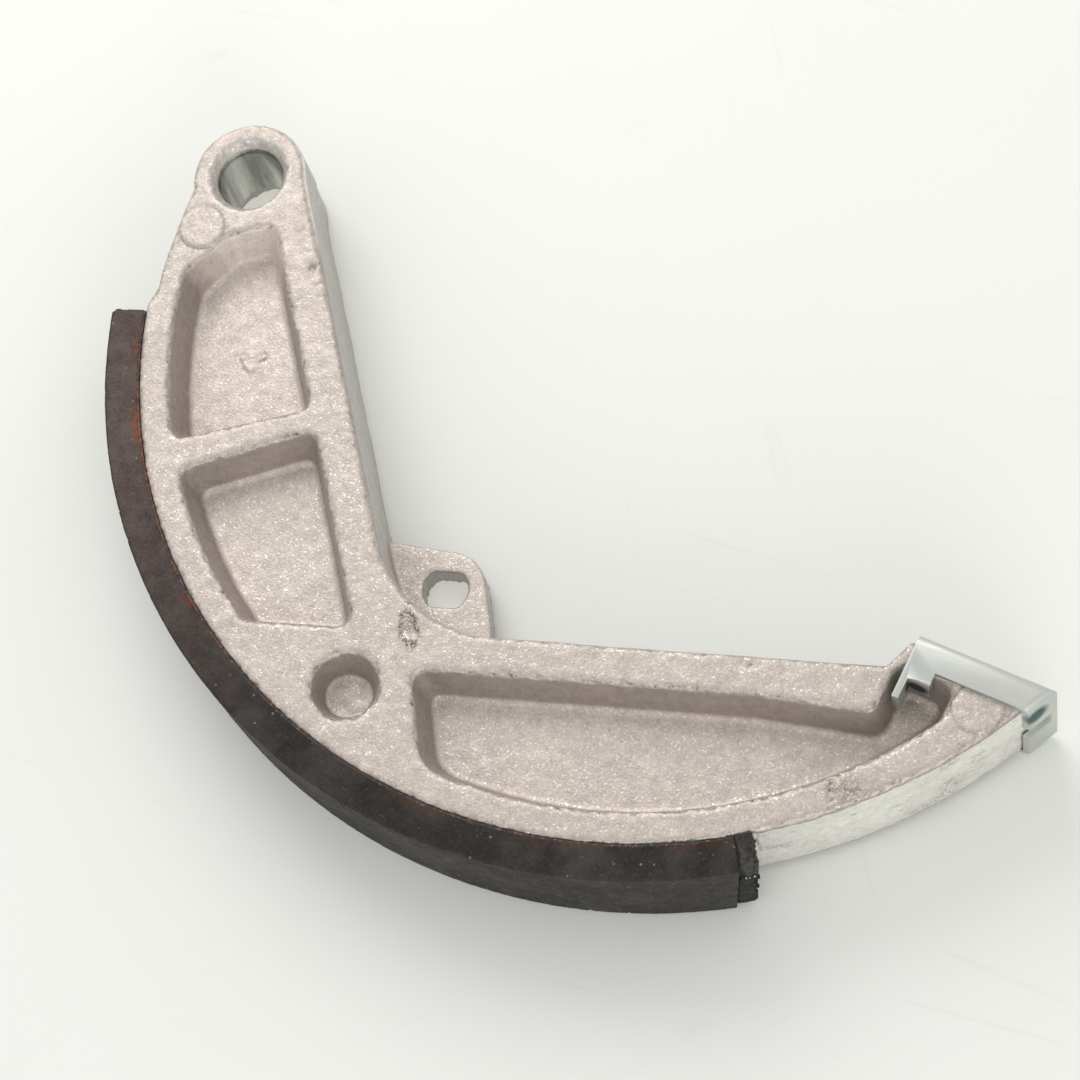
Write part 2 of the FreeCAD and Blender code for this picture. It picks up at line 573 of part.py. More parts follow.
def spring_hole(body):
    """Hole for the spring's hook: round, with two flats that run along the toe's wall."""
    sketch = new_sketch(body, "hole_outline",
                        height="Sizes.ear_bottom + Sizes.ear_thickness - Places.half_width")
    centre = FreeCAD.Vector(place("ear_x"), -place("ear_drop"), 0)
    radius = size("hole_diameter") / 2
    half_flats = size("hole_flats") / 2
    turn = size("toe_angle")
    reach = degrees(atan2(half_flats, sqrt(radius * radius - half_flats * half_flats)))

    right = add_arc(sketch, centre, radius, turn - reach, turn + reach)
    left = add_arc(sketch, centre, radius, turn + 180 - reach, turn + 180 + reach)
    top = add_line(sketch, centre + heading(turn + reach) * radius,
                   centre + heading(turn + 180 - reach) * radius)
    bottom = add_line(sketch, centre + heading(turn + 180 + reach) * radius,
                      centre + heading(turn - reach) * radius)
    join(sketch, (right, 2), (top, 1), (top, 2), (left, 1), (left, 2), (bottom, 1),
         (bottom, 2), (right, 1), (left, 3), (right, 3))
    bind_x(sketch, "ear_x", "Places.ear_x", right, 3)
    bind_drop(sketch, "ear_drop", "Places.ear_drop", right, 3)
    bind(sketch, "hole_diameter", "Sizes.hole_diameter / 2", "Radius", right, radius)
    sketch.addConstraint(Sketcher.Constraint("Equal", right, left))
    bind(sketch, "flats_heading", "Sizes.toe_angle - 180", "Angle", top, radians(turn - 180))
    sketch.addConstraint(Sketcher.Constraint("Parallel", top, bottom))
    bind(sketch, "top_flat", "Sizes.hole_flats / 2", "Distance", right, 3, top, half_flats)
    bind(sketch, "bottom_flat", "Sizes.hole_flats / 2", "Distance", right, 3, bottom, half_flats)
    return cut(body, "spring_hole", sketch, "Sizes.ear_thickness")


def pivot_bore(body):
    """Bore that turns on the anchor pin, with the conical mouths left by the core."""
    sketch = new_sketch(body, "bore_section", role="XZ_Plane")
    half = place("half_width")
    radius = size("bore_diameter") / 2
    mouth = size("mouth_diameter") / 2
    foot = size("foot_diameter") / 2
    spots = [(0, -half), (foot, -half), (radius, size("foot_depth") - half),
             (radius, half - size("mouth_depth")), (mouth, half), (0, half)]
    spots = [FreeCAD.Vector(x, y, 0) for x, y in spots]
    lines = [add_line(sketch, a, b) for a, b in zip(spots, spots[1:] + spots[:1])]
    for this, following in zip(lines, lines[1:] + lines[:1]):
        join(sketch, (this, 2), (following, 1))
    sketch.addConstraint(Sketcher.Constraint("PointOnObject", lines[0], 1, -2))
    sketch.addConstraint(Sketcher.Constraint("PointOnObject", lines[4], 2, -2))
    sketch.addConstraint(Sketcher.Constraint("Horizontal", lines[0]))
    sketch.addConstraint(Sketcher.Constraint("Vertical", lines[2]))
    sketch.addConstraint(Sketcher.Constraint("Horizontal", lines[4]))
    bind(sketch, "low_face", "Places.half_width", "DistanceY", lines[0], 1, -1, 1, half)
    bind(sketch, "high_face", "Places.half_width", "DistanceY", -1, 1, lines[4], 2, half)
    bind(sketch, "low_mouth", "Sizes.foot_diameter / 2", "DistanceX", -1, 1, lines[0], 2, foot)
    bind(sketch, "high_mouth", "Sizes.mouth_diameter / 2", "DistanceX", -1, 1, lines[4], 1,
         mouth)
    bind(sketch, "bore", "Sizes.bore_diameter / 2", "DistanceX", -1, 1, lines[2], 1, radius)
    bind(sketch, "foot_depth", "Sizes.foot_depth", "DistanceY", lines[0], 2, lines[2], 1,
         size("foot_depth"))
    bind(sketch, "mouth_depth", "Sizes.mouth_depth", "DistanceY", lines[2], 2, lines[4], 1,
         size("mouth_depth"))
    groove = body.newObject("PartDesign::Groove", "pivot_bore")
    groove.Profile = sketch
    groove.ReferenceAxis = (sketch, ["V_Axis"])
    groove.Angle = 360
    return groove


def boss_pad(body):
    """Raised round mark of an ejector pin beside the boss."""
    sketch = new_sketch(body, "boss_pad_outline", height="Places.half_width")
    centre = FreeCAD.Vector(-size("boss_pad_back"), -size("boss_pad_down"), 0)
    ring = add_circle(sketch, centre, size("pin_diameter") / 2)
    bind(sketch, "back", "Sizes.boss_pad_back", "DistanceX", ring, 3, -1, 1,
         size("boss_pad_back"))
    bind_drop(sketch, "down", "Sizes.boss_pad_down", ring, 3)
    bind(sketch, "diameter", "Sizes.pin_diameter", "Diameter", ring, size("pin_diameter"))
    return pad(body, "boss_pad", sketch, "Sizes.pin_height")


def toe_pad(body):
    """Raised mark of an ejector pin on the toe; a chord keeps it clear of the cap's flange."""
    sketch = new_sketch(body, "toe_pad_outline", height="Places.half_width")
    centre = FreeCAD.Vector(place("toe_pad_x"), -place("toe_pad_drop"), 0)
    radius = size("pin_diameter") / 2
    rise = centre.y + place("cap_edge") + size("pad_gap")
    turn = degrees(atan2(-rise, sqrt(radius * radius - rise * rise)))
    ring = add_arc(sketch, centre, radius, 180 - turn, 360 + turn)
    flat = add_line(sketch, centre + heading(turn) * radius, centre + heading(180 - turn) * radius)
    join(sketch, (ring, 2), (flat, 1), (flat, 2), (ring, 1))
    sketch.addConstraint(Sketcher.Constraint("Horizontal", flat))
    bind_drop(sketch, "chord", "Places.cap_edge + Sizes.pad_gap", flat, 1)
    bind_x(sketch, "place", "Places.toe_pad_x", ring, 3)
    bind_drop(sketch, "drop", "Places.toe_pad_drop", ring, 3)
    bind(sketch, "radius", "Sizes.pin_diameter / 2", "Radius", ring, radius)
    return pad(body, "toe_pad", sketch, "Sizes.pin_height")


def shoe_casting():
    """One casting: boss, rim, ribs and toe round a thin web, with pockets from both sides."""
    body = new_body("shoe_casting")
    pad(body, "blank", side_profile(body), "Places.half_width", "-Sizes.casting_draft")
    pockets = [cut(body, name, mouth(body), "Places.pocket_depth", "-Sizes.pocket_draft")
               for name, mouth in (("upper_pocket", upper_mouth), ("middle_pocket", middle_mouth),
                                   ("long_pocket", long_mouth))]
    pockets.append(core_recess(body))
    both = mirror(body, "pockets_both_sides", pockets)
    DOC.recompute()

    half = place("half_width")
    floor = size("web_thickness") / 2
    side_way = heading(-size("long_side_angle"))
    side_base = heading(90 - size("long_side_angle")) * place("long_side")
    sweep_spot = circle_ends(side_base, side_way, place("pocket_radius"))[1]

    def behind_elbow(spot):
        return hypot(spot.x - sweep_spot.x, spot.y - sweep_spot.y) < size("pocket_sweep")

    corners = dress(body, "Fillet", "pocket_corners", both,
                    upright_edges(both.Shape, floor, half, lambda spot: not behind_elbow(spot)),
                    "Places.corner_round")
    DOC.recompute()
    sweep = dress(body, "Fillet", "pocket_sweeps", corners,
                  upright_edges(corners.Shape, floor, half, behind_elbow), "Sizes.pocket_sweep")
    DOC.recompute()
    floors = dress(body, "Fillet", "pocket_floors", sweep, level_edges(sweep.Shape, floor),
                   "Places.floor_hollow")
    DOC.recompute()
    dress(body, "Chamfer", "outline_edges", floors, level_edges(floors.Shape, half),
          "Sizes.edge_chamfer")
    spring_ear(body)
    spring_hole(body)
    pivot_bore(body)
    boss_pad(body)
    toe_pad(body)
    return body


# Lining and adhesive

def rim_sector(body, name, inner, outer, start, finish, height=None):
    """Sector between two arcs round the axle: each argument is a value and its formula."""
    sketch = new_sketch(body, name, height=height)
    outer_arc = add_arc(sketch, axle(), outer[0], start[0], finish[0])
    inner_arc = add_arc(sketch, axle(), inner[0], start[0], finish[0])
    start_line = add_line(sketch, polar(inner[0], start[0]), polar(outer[0], start[0]))
    finish_line = add_line(sketch, polar(inner[0], finish[0]), polar(outer[0], finish[0]))
    join(sketch, (start_line, 1), (inner_arc, 1), (start_line, 2), (outer_arc, 1),
         (finish_line, 1), (inner_arc, 2), (finish_line, 2), (outer_arc, 2),
         (inner_arc, 3), (outer_arc, 3))
    bind_axle(sketch, "pivot_radius", outer_arc)
    bind(sketch, "outer_radius", outer[1], "Radius", outer_arc, outer[0])
    bind(sketch, "inner_radius", inner[1], "Radius", inner_arc, inner[0])
    bind(sketch, "start_heading", f"{start[1]} - 360", "Angle", start_line,
         radians(start[0] - 360))
    bind(sketch, "finish_heading", f"{finish[1]} - 360", "Angle", finish_line,
         radians(finish[0] - 360))
    for line in (start_line, finish_line):
        sketch.addConstraint(Sketcher.Constraint("PointOnObject", outer_arc, 3, line))
    return sketch


def skewed(feature):
    """Lets a feature run down across the width along the slanted end of the lining."""
    turn = radians(size("lining_finish"))
    lean = size("lining_skew")
    feature.UseCustomVector = True
    feature.Direction = FreeCAD.Vector(sin(turn) * lean, -cos(turn) * lean, -size("shoe_width"))
    feature.AlongSketchNormal = True
    feature.setExpression("Direction.x", "sin(Sizes.lining_finish) * Sizes.lining_skew")
    feature.setExpression("Direction.y", "-cos(Sizes.lining_finish) * Sizes.lining_skew")
    feature.setExpression("Direction.z", "-Sizes.shoe_width")


def friction_lining():
    """Curved block of friction material; its toe end leans across the width."""
    body = new_body("friction_lining")
    inner = place("lining_base")
    outer = size("friction_radius")
    start = (size("lining_start"), "Sizes.lining_start")
    finish = (size("lining_finish"), "Sizes.lining_finish")
    sector = rim_sector(body, "lining_outline", (inner, "Places.lining_base"),
                        (outer, "Sizes.friction_radius"), start, finish)
    block = pad(body, "lining_block", sector, "Sizes.shoe_width")
    block.SideType = "Symmetric"
    beyond = rim_sector(body, "lining_end_outline", (inner - 1, "Places.lining_base - 1"),
                        (outer + 1, "Sizes.friction_radius + 1"), finish,
                        (finish[0] + 4, "Sizes.lining_finish + 4"), height="Places.half_width")
    lean = cut(body, "lining_lean", beyond, "Sizes.shoe_width")
    skewed(lean)
    DOC.recompute()
    corner = polar(outer, start[0])
    worn = [f"Edge{number}" for number, edge in enumerate(lean.Shape.Edges, start=1)
            if len(edge.Vertexes) == 2
            and all(hypot(spot.X - corner.x, spot.Y - corner.y) < 1e-4 for spot in edge.Vertexes)]
    dress(body, "Fillet", "worn_corner", lean, worn, "Sizes.lining_round")
    return body


def bond_film():
    """Film of adhesive under the lining, with the bead squeezed out past its toe end."""
    body = new_body("bond_film")
    seat = (place("seat_radius"), "Places.seat_radius")
    base = (place("lining_base"), "Places.lining_base")
    start = (size("lining_start"), "Sizes.lining_start")
    finish = (size("lining_finish"), "Sizes.lining_finish")
    sector = rim_sector(body, "film_outline", seat, base, start, finish)
    film = pad(body, "film", sector, "Sizes.shoe_width")
    film.SideType = "Symmetric"
    crest = size("friction_radius") - size("bead_step")
    bead_sector = rim_sector(body, "bead_outline", seat,
                             (crest, "Sizes.friction_radius - Sizes.bead_step"),
                             (size("bead_start"), "Sizes.bead_start"),
                             (size("bead_finish"), "Sizes.bead_finish"),
                             height="Places.half_width")
    bead = pad(body, "bead", bead_sector, "Sizes.shoe_width")
    skewed(bead)
    foot = base[0] + size("bead_root")
    tear = rim_sector(body, "tear_outline", (foot, "Places.lining_base + Sizes.bead_root"),
                      (size("friction_radius") + 1, "Sizes.friction_radius + 1"),
                      (size("bead_start") - 3, "Sizes.bead_start - 3"),
                      (size("bead_finish") + 2, "Sizes.bead_finish + 2"),
                      height="Sizes.bead_slit_level - Places.half_width")
    cut(body, "tear", tear, "Sizes.bead_slit")
    return body


# Cap

def cap_section(body, name, layer, face, flange, start):
    """Outline seen along the axle between the cam face, the toe's outer arc and two edges.

    Each argument is a value and its formula. The layer is the distance from the casting's
    outer arc; the face and the flange are drops below the pivot."""
    sketch = new_sketch(body, name)
    centre = FreeCAD.Vector(place("toe_arc_x"), -place("toe_arc_drop"), 0)
    radius = place("toe_radius") + layer[0]
    ends = []
    for drop in (flange[0], face[0]):
        rise = -drop - centre.y
        ends.append(FreeCAD.Vector(centre.x + sqrt(radius * radius - rise * rise), -drop, 0))
    low, high = ends
    first, last = [degrees(atan2(spot.y - centre.y, spot.x - centre.x)) for spot in ends]
    corner = FreeCAD.Vector(start[0], high.y, 0)
    foot = FreeCAD.Vector(start[0], low.y, 0)

    arc = add_arc(sketch, centre, radius, first, last)
    top = add_line(sketch, high, corner)
    side = add_line(sketch, corner, foot)
    bottom = add_line(sketch, foot, low)
    join(sketch, (arc, 2), (top, 1), (top, 2), (side, 1), (side, 2), (bottom, 1),
         (bottom, 2), (arc, 1))
    sketch.addConstraint(Sketcher.Constraint("Horizontal", top))
    sketch.addConstraint(Sketcher.Constraint("Vertical", side))
    sketch.addConstraint(Sketcher.Constraint("Horizontal", bottom))
    bind_x(sketch, "start", start[1], top, 2)
    bind_drop(sketch, "face", face[1], top, 2)
    bind_drop(sketch, "flange", flange[1], bottom, 1)
    bind(sketch, "arc_radius", f"Places.toe_radius + {layer[1]}", "Radius", arc, radius)
    bind_x(sketch, "arc_x", "Places.toe_arc_x", arc, 3)
    bind_drop(sketch, "arc_drop", "Places.toe_arc_drop", arc, 3)
    return sketch


def tab_outline(body, name, width, width_formula, near_drop, near_formula, far_drop, far_formula):
    """Rectangle in the top plane of the cap that starts at the cap's near end."""
    sketch = new_sketch(body, name, height="Places.cap_half")
    left = place("cap_start")
    right = left + width
    spots = [FreeCAD.Vector(left, -far_drop, 0), FreeCAD.Vector(right, -far_drop, 0),
             FreeCAD.Vector(right, -near_drop, 0), FreeCAD.Vector(left, -near_drop, 0)]
    lines = [add_line(sketch, a, b) for a, b in zip(spots, spots[1:] + spots[:1])]
    for this, following in zip(lines, lines[1:] + lines[:1]):
        join(sketch, (this, 2), (following, 1))
    for line, kind in zip(lines, ("Horizontal", "Vertical", "Horizontal", "Vertical")):
        sketch.addConstraint(Sketcher.Constraint(kind, line))
    bind_x(sketch, "left", "Places.cap_start", lines[0], 1)
    bind_x(sketch, "right", f"Places.cap_start + {width_formula}", lines[0], 2)
    bind_drop(sketch, "far", far_formula, lines[0], 1)
    bind_drop(sketch, "near", near_formula, lines[2], 1)
    return sketch


def cap_hooks(body):
    """Tabs at the near end: a flat shoulder, a hook and a lip bent down into the pocket."""
    outer = place("cap_face")
    edge = (place("cap_edge") - 1, "Places.cap_edge - 1")
    lip = (outer + size("lip_reach"), "Places.cap_face + Sizes.lip_reach")
    hook = (outer + size("hook_reach"), "Places.cap_face + Sizes.hook_reach")
    sheet = (size("cap_sheet"), "Sizes.cap_sheet")
    span = (size("lip_length"), "Sizes.lip_length")
    lip_inner = (lip[0] - sheet[0], f"{lip[1]} - Sizes.cap_sheet")
    return [
        pad_down(body, "hook_shoulder", tab_outline(body, "hook_shoulder_outline", *sheet, *edge,
                                                    *hook), "Sizes.cap_sheet"),
        pad_down(body, "hook", tab_outline(body, "hook_outline", *sheet, *lip, *hook),
                 "Places.cap_skin + Sizes.hook_depth"),
        pad_down(body, "lip_shoulder", tab_outline(body, "lip_shoulder_outline", *span, *edge,
                                                   *lip), "Sizes.cap_sheet"),
        pad_down(body, "lip", tab_outline(body, "lip_outline", *span, *lip_inner, *lip),
                 "Places.cap_skin + Sizes.lip_depth"),
    ]


def pad_down(body, name, sketch, length):
    feature = pad(body, name, sketch, length)
    feature.Reversed = True
    return feature


def tail_slot(body):
    """Gap between the two tabs that are folded over the tip of the toe."""
    sketch = new_sketch(body, "tail_slot_outline", role="XZ_Plane", height="Places.cap_hollow")
    half = place("cap_half") - size("tail_length")
    left = place("cam_start") + size("cam_length") / 2
    right = place("tip_x") + size("cap_flange")
    spots = [FreeCAD.Vector(x, y, 0) for x, y in ((left, -half), (right, -half), (right, half),
                                                  (left, half))]
    lines = [add_line(sketch, a, b) for a, b in zip(spots, spots[1:] + spots[:1])]
    for this, following in zip(lines, lines[1:] + lines[:1]):
        join(sketch, (this, 2), (following, 1))
    for line, kind in zip(lines, ("Horizontal", "Vertical", "Horizontal", "Vertical")):
        sketch.addConstraint(Sketcher.Constraint(kind, line))
    bind_x(sketch, "left", "Places.cam_start + Sizes.cam_length / 2", lines[0], 1)
    bind_x(sketch, "right", "Places.tip_x + Sizes.cap_flange", lines[0], 2)
    length = "Places.cap_half - Sizes.tail_length"
    bind(sketch, "low", length, "DistanceY", lines[0], 1, -1, 1, half)
    bind(sketch, "high", length, "DistanceY", -1, 1, lines[2], 1, half)
    slot = cut(body, "tail_slot", sketch, "Sizes.cap_flange")
    slot.Reversed = True
    return slot


def bend_edges(shape, inside):
    """Edges where the flanges meet the face and the tail tabs, on one skin of the sheet."""
    drop = place("cap_hollow") if inside else place("cap_face")
    layer = size("cap_gap") if inside else place("cap_skin")
    level = place("half_width") + layer
    centre = FreeCAD.Vector(place("toe_arc_x"), -place("toe_arc_drop"), 0)
    names = []
    for number, edge in enumerate(shape.Edges, start=1):
        spots = [vertex.Point for vertex in edge.Vertexes]
        on_level = any(all(near(spot.z, side * level) for spot in spots) for side in (-1, 1))
        on_face = all(near(spot.y, -drop) for spot in spots)
        on_arc = all(near(hypot(spot.x - centre.x, spot.y - centre.y),
                          place("toe_radius") + layer) for spot in spots)
        if on_level and (on_face or on_arc):
            names.append(f"Edge{number}")
    return names


def cam_end_cap():
    """Folded sheet over the end that the cam pushes: face, two flanges, hooks and tail tabs."""
    body = new_body("cam_end_cap")
    shell = pad(body, "cap_block", cap_section(
        body, "cap_outline", (place("cap_skin"), "Places.cap_skin"),
        (place("cap_face"), "Places.cap_face"), (place("cap_edge"), "Places.cap_edge"),
        (place("cap_start"), "Places.cap_start")), "2 * Places.cap_half")
    shell.SideType = "Symmetric"
    void = cut(body, "cap_void", cap_section(
        body, "void_outline", (size("cap_gap"), "Sizes.cap_gap"),
        (place("cap_hollow"), "Places.cap_hollow"),
        (place("cap_edge") + 1, "Places.cap_edge + 1"),
        (place("cap_start") - 1, "Places.cap_start - 1")), "Sizes.shoe_width + 2 * Sizes.cap_gap")
    void.SideType = "Symmetric"
    tail_slot(body)
    both = mirror(body, "hooks_both_sides", cap_hooks(body))
    DOC.recompute()
    inner = dress(body, "Fillet", "inner_bends", both, bend_edges(both.Shape, inside=True),
                  "Sizes.cap_bend")
    DOC.recompute()
    outer_edges = bend_edges(inner.Shape, inside=False)
    dress(body, "Fillet", "outer_bends", inner, outer_edges, "Sizes.cap_bend + Sizes.cap_sheet")
    return body


def check_document():
    """Stops where a feature failed, a sketch is loose or a body isn't one sound solid."""
    for item in DOC.Objects:
        trouble = {"Invalid", "Error"} & set(item.State)
        if trouble:
            raise RuntimeError(f"{item.Label}: {trouble}")
        if item.TypeId == "Sketcher::SketchObject" and not item.FullyConstrained:
            raise RuntimeError(f"{item.Label} isn't fully constrained")
        if item.TypeId == "PartDesign::Body":
            shape = item.Shape
            if shape.isNull() or not shape.isValid() or len(shape.Solids) != 1:
                raise RuntimeError(f"{item.Label} isn't one sound solid")


def main():
    pieces = [build() for build in (shoe_casting, friction_lining, bond_film, cam_end_cap)]
    DOC.recompute()
    check_document()
    for piece in pieces:
        piece.Shape.exportStep(os.path.join("parts", f"{piece.Label}.step"))


os.makedirs("parts", exist_ok=True)
main()
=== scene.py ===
from types import SimpleNamespace

import bmesh
import bpy
import numpy as np
from bpy.props import FloatProperty, FloatVectorProperty, IntProperty, PointerProperty
from bpy.types import Operator, Panel, PropertyGroup
from mathutils import Matrix, Vector


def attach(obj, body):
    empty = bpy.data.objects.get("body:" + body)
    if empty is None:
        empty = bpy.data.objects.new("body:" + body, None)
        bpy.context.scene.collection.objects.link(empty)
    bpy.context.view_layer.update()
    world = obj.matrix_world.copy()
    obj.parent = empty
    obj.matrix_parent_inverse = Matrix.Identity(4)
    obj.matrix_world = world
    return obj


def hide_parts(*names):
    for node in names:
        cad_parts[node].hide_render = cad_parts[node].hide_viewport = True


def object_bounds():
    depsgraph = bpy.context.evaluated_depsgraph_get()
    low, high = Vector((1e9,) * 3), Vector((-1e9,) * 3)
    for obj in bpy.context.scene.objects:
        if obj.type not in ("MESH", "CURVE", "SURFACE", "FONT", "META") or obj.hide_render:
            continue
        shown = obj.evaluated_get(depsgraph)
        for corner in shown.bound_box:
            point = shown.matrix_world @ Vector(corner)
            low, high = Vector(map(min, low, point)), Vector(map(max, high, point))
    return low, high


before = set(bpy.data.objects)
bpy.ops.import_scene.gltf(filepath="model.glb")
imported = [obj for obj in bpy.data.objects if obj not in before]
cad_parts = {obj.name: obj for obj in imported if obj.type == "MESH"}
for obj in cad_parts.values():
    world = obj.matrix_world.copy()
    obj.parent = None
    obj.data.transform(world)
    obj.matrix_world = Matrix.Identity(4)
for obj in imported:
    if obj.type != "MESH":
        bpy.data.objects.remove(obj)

bl_info = {
    "name": "Brake Shoe",
    "version": (1, 0, 0),
    "blender": (4, 5, 0),
    "location": "3D View > Sidebar > Brake Shoe",
    "description": "Dresses the cast brake shoe, its friction lining, adhesive and folded cap",
    "category": "Object",
}

CAD_BOX = [list(corner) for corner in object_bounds()]
MM = 0.001

# Places on the shoe, in millimetres from the pivot at mid-width
PIVOT = (0.0, 0.0)
AXLE = (62.8, 0.0)
SEAT_RADIUS = 70.35
LINING_END = 104.6
FACE = 8.0
POCKET_FLOOR = 2.0
BORE_RADIUS = 4.45
RECESS = (48.05, -60.55)

# Where the cap's lip turns down, from its inner to its outer end
LIP_BEND = ((113.6, -31.05, 8.95), (116.5, -31.05, 8.95))

# The photograph's camera
LENS = 100.0
SENSOR = 36.0
CLIP_START = 0.01
CAMERA_PLACE = (178.893, -134.956, 364.113)
CAMERA_TURN = ((0.8808384, -0.3662626, 0.299959),
               (0.4455276, 0.8555801, -0.2636055),
               (-0.1600901, 0.3658339, 0.9168079))


class CastingSettings(PropertyGroup):
    voxel: FloatProperty(
        name="Mesh size", description="Side of the squares that the casting's skin is made of",
        default=0.29 * MM, min=0.1 * MM, unit="LENGTH")
    waviness: FloatProperty(
        name="Waviness", description="How far the cast skin swells and sinks",
        default=0.06 * MM, min=0, unit="LENGTH")
    ridge: FloatProperty(
        name="Parting ridge", description="Height of the ridge where the two dies met",
        default=0.17 * MM, min=0, unit="LENGTH")
    grain: FloatProperty(
        name="Grain", description="Size of the sandy grains of the cast skin",
        default=0.32 * MM, min=0.05 * MM, unit="LENGTH")
    face_color: FloatVectorProperty(
        name="Face colour", description="Warm tone of the side faces",
        default=(0.562, 0.496, 0.452), min=0, max=1, subtype="COLOR")
    floor_color: FloatVectorProperty(
        name="Pocket floor colour", description="Lighter tone of the pocket floors",
        default=(0.632, 0.560, 0.514), min=0, max=1, subtype="COLOR")
    # Painted shade: the pockets' sloping walls are coloured darker than the faces and floors
    pocket_painted_shade_color: FloatVectorProperty(
        name="Pocket wall colour", description="Dull tone of the pockets' sloping walls",
        default=(0.415, 0.362, 0.338), min=0, max=1, subtype="COLOR")
    # Painted reflection: the toe's outer wall is coloured brighter and cooler, as if it mirrored
    # the pale table
    wall_painted_reflection_color: FloatVectorProperty(
        name="Outer wall colour", description="Cooler, smoother tone of the toe's outer wall",
        default=(0.93, 0.92, 0.88), min=0, max=1, subtype="COLOR")
    # Painted shade: the arm's wall and the ear are coloured darker and greyer, as walls that face
    # away from the light
    arm_painted_shade_color: FloatVectorProperty(
        name="Inner wall colour", description="Greyer tone of the arm's wall and the ear",
        default=(0.46, 0.44, 0.42), min=0, max=1, subtype="COLOR")
    # Also painted shade under the parting step and in the pins' grooves
    flaw_color: FloatVectorProperty(
        name="Flaw colour", description="Brown of torn and rough spots",
        default=(0.16, 0.125, 0.105), min=0, max=1, subtype="COLOR")


class LiningSettings(PropertyGroup):
    voxel: FloatProperty(
        name="Mesh size", description="Side of the squares that the lining's skin is made of",
        default=0.22 * MM, min=0.1 * MM, unit="LENGTH")
    # Painted sheen: the side faces are coloured lighter near the pivot and darker towards the toe
    side_sheen_color: FloatVectorProperty(
        name="Side colour", description="Brownish side faces, near the pivot",
        default=(0.088, 0.062, 0.057), min=0, max=1, subtype="COLOR")
    dark_color: FloatVectorProperty(
        name="Dark side colour", description="Side faces towards the toe",
        default=(0.021, 0.0175, 0.016), min=0, max=1, subtype="COLOR")
    worn_color: FloatVectorProperty(
        name="Ground colour", description="Ground friction face",
        default=(0.030, 0.026, 0.0225), min=0, max=1, subtype="COLOR")
    trace_color: FloatVectorProperty(
        name="Trace colour", description="Rusty traces of adhesive along the joint",
        default=(0.20, 0.062, 0.032), min=0, max=1, subtype="COLOR")
    stain_color: FloatVectorProperty(
        name="Stain colour", description="Dark red stain along the lower part of the joint",
        default=(0.060, 0.017, 0.013), min=0, max=1, subtype="COLOR")


class AdhesiveSettings(PropertyGroup):
    voxel: FloatProperty(
        name="Mesh size", description="Side of the squares that the bead's skin is made of",
        default=0.14 * MM, min=0.05 * MM, unit="LENGTH")
    raggedness: FloatProperty(
        name="Raggedness", description="How far the bead's skin is torn",
        default=0.42 * MM, min=0, unit="LENGTH")
    color: FloatVectorProperty(
        name="Colour", description="Grey of the upper lobe",
        default=(0.036, 0.032, 0.029), min=0, max=1, subtype="COLOR")
    # Painted shade: the lower lobe and the crack are coloured black
    deep_shade_color: FloatVectorProperty(
        name="Deep colour", description="Black of the lower lobe",
        default=(0.006, 0.005, 0.005), min=0, max=1, subtype="COLOR")


class CapSettings(PropertyGroup):
    lip_bend: FloatProperty(
        name="Lip bend", description="Outer radius where the lip turns down into the pocket",
        default=0.8 * MM, min=0, unit="LENGTH")
    bevel: FloatProperty(
        name="Edge rounding", description="Rounding of the sheared edges of the sheet",
        default=0.12 * MM, min=0, unit="LENGTH")
    color: FloatVectorProperty(
        name="Zinc colour", description="Pale zinc plating",
        default=(0.60, 0.60, 0.56), min=0, max=1, subtype="COLOR")


class StageSettings(PropertyGroup):
    key_power: FloatProperty(
        name="Key light", description="Power of the large soft light", default=1.42, min=0,
        unit="POWER")
    side_power: FloatProperty(
        name="Side light", description="Power of the low soft light beside the toe",
        default=0.95, min=0, unit="POWER")
    fill: FloatProperty(
        name="Fill", description="Strength of the light from all around", default=0.78, min=0)
    floor_color: FloatVectorProperty(
        name="Floor colour", description="Pale table top", default=(0.845, 0.850, 0.825),
        min=0, max=1, subtype="COLOR")
    seed: IntProperty(name="Scratches", description="Pattern of the fine scratches", default=4)


class ShoeSettings(PropertyGroup):
    casting: PointerProperty(type=CastingSettings)
    lining: PointerProperty(type=LiningSettings)
    adhesive: PointerProperty(type=AdhesiveSettings)
    cap: PointerProperty(type=CapSettings)
    stage: PointerProperty(type=StageSettings)


# Meshes

def link_piece(name, mesh):
    """A new piece in the scene."""
    piece = bpy.data.objects.new(name, mesh)
    bpy.context.scene.collection.objects.link(piece)
    return piece


def drawn_piece(name, bm):
    """A new piece with the faces that were drawn in bm."""
    mesh = bpy.data.meshes.new(name)
    bm.to_mesh(mesh)
    bm.free()
    return link_piece(name, mesh)


def copy_node(node_name, name):
    """A new piece with the mesh of a CAD node, in the same place."""
    piece = link_piece(name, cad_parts[node_name].data.copy())
    piece.data.materials.clear()
    return piece


def apply_modifiers(piece):
    """Replaces a piece's mesh with what its modifiers make of it."""
    graph = bpy.context.evaluated_depsgraph_get()
    mesh = bpy.data.meshes.new_from_object(piece.evaluated_get(graph))
    piece.modifiers.clear()
    piece.data = mesh


def recast(piece, voxel, rounds):
    """Gives a piece an even skin of small squares with softly rounded edges."""
    remesh = piece.modifiers.new("skin", "REMESH")
    remesh.mode = "VOXEL"
    remesh.voxel_size = voxel
    smooth = piece.modifiers.new("soften", "SMOOTH")
    smooth.factor = 0.5
    smooth.iterations = rounds
    apply_modifiers(piece)


def read_skin(piece):
    """Vertices and normals of a piece as arrays, in millimetres."""
    mesh = piece.data
    spots = np.empty(len(mesh.vertices) * 3)
    mesh.vertices.foreach_get("co", spots)
    normals = np.empty(len(mesh.vertices) * 3)
    mesh.vertices.foreach_get("normal", normals)
    return spots.reshape(-1, 3) / MM, normals.reshape(-1, 3)


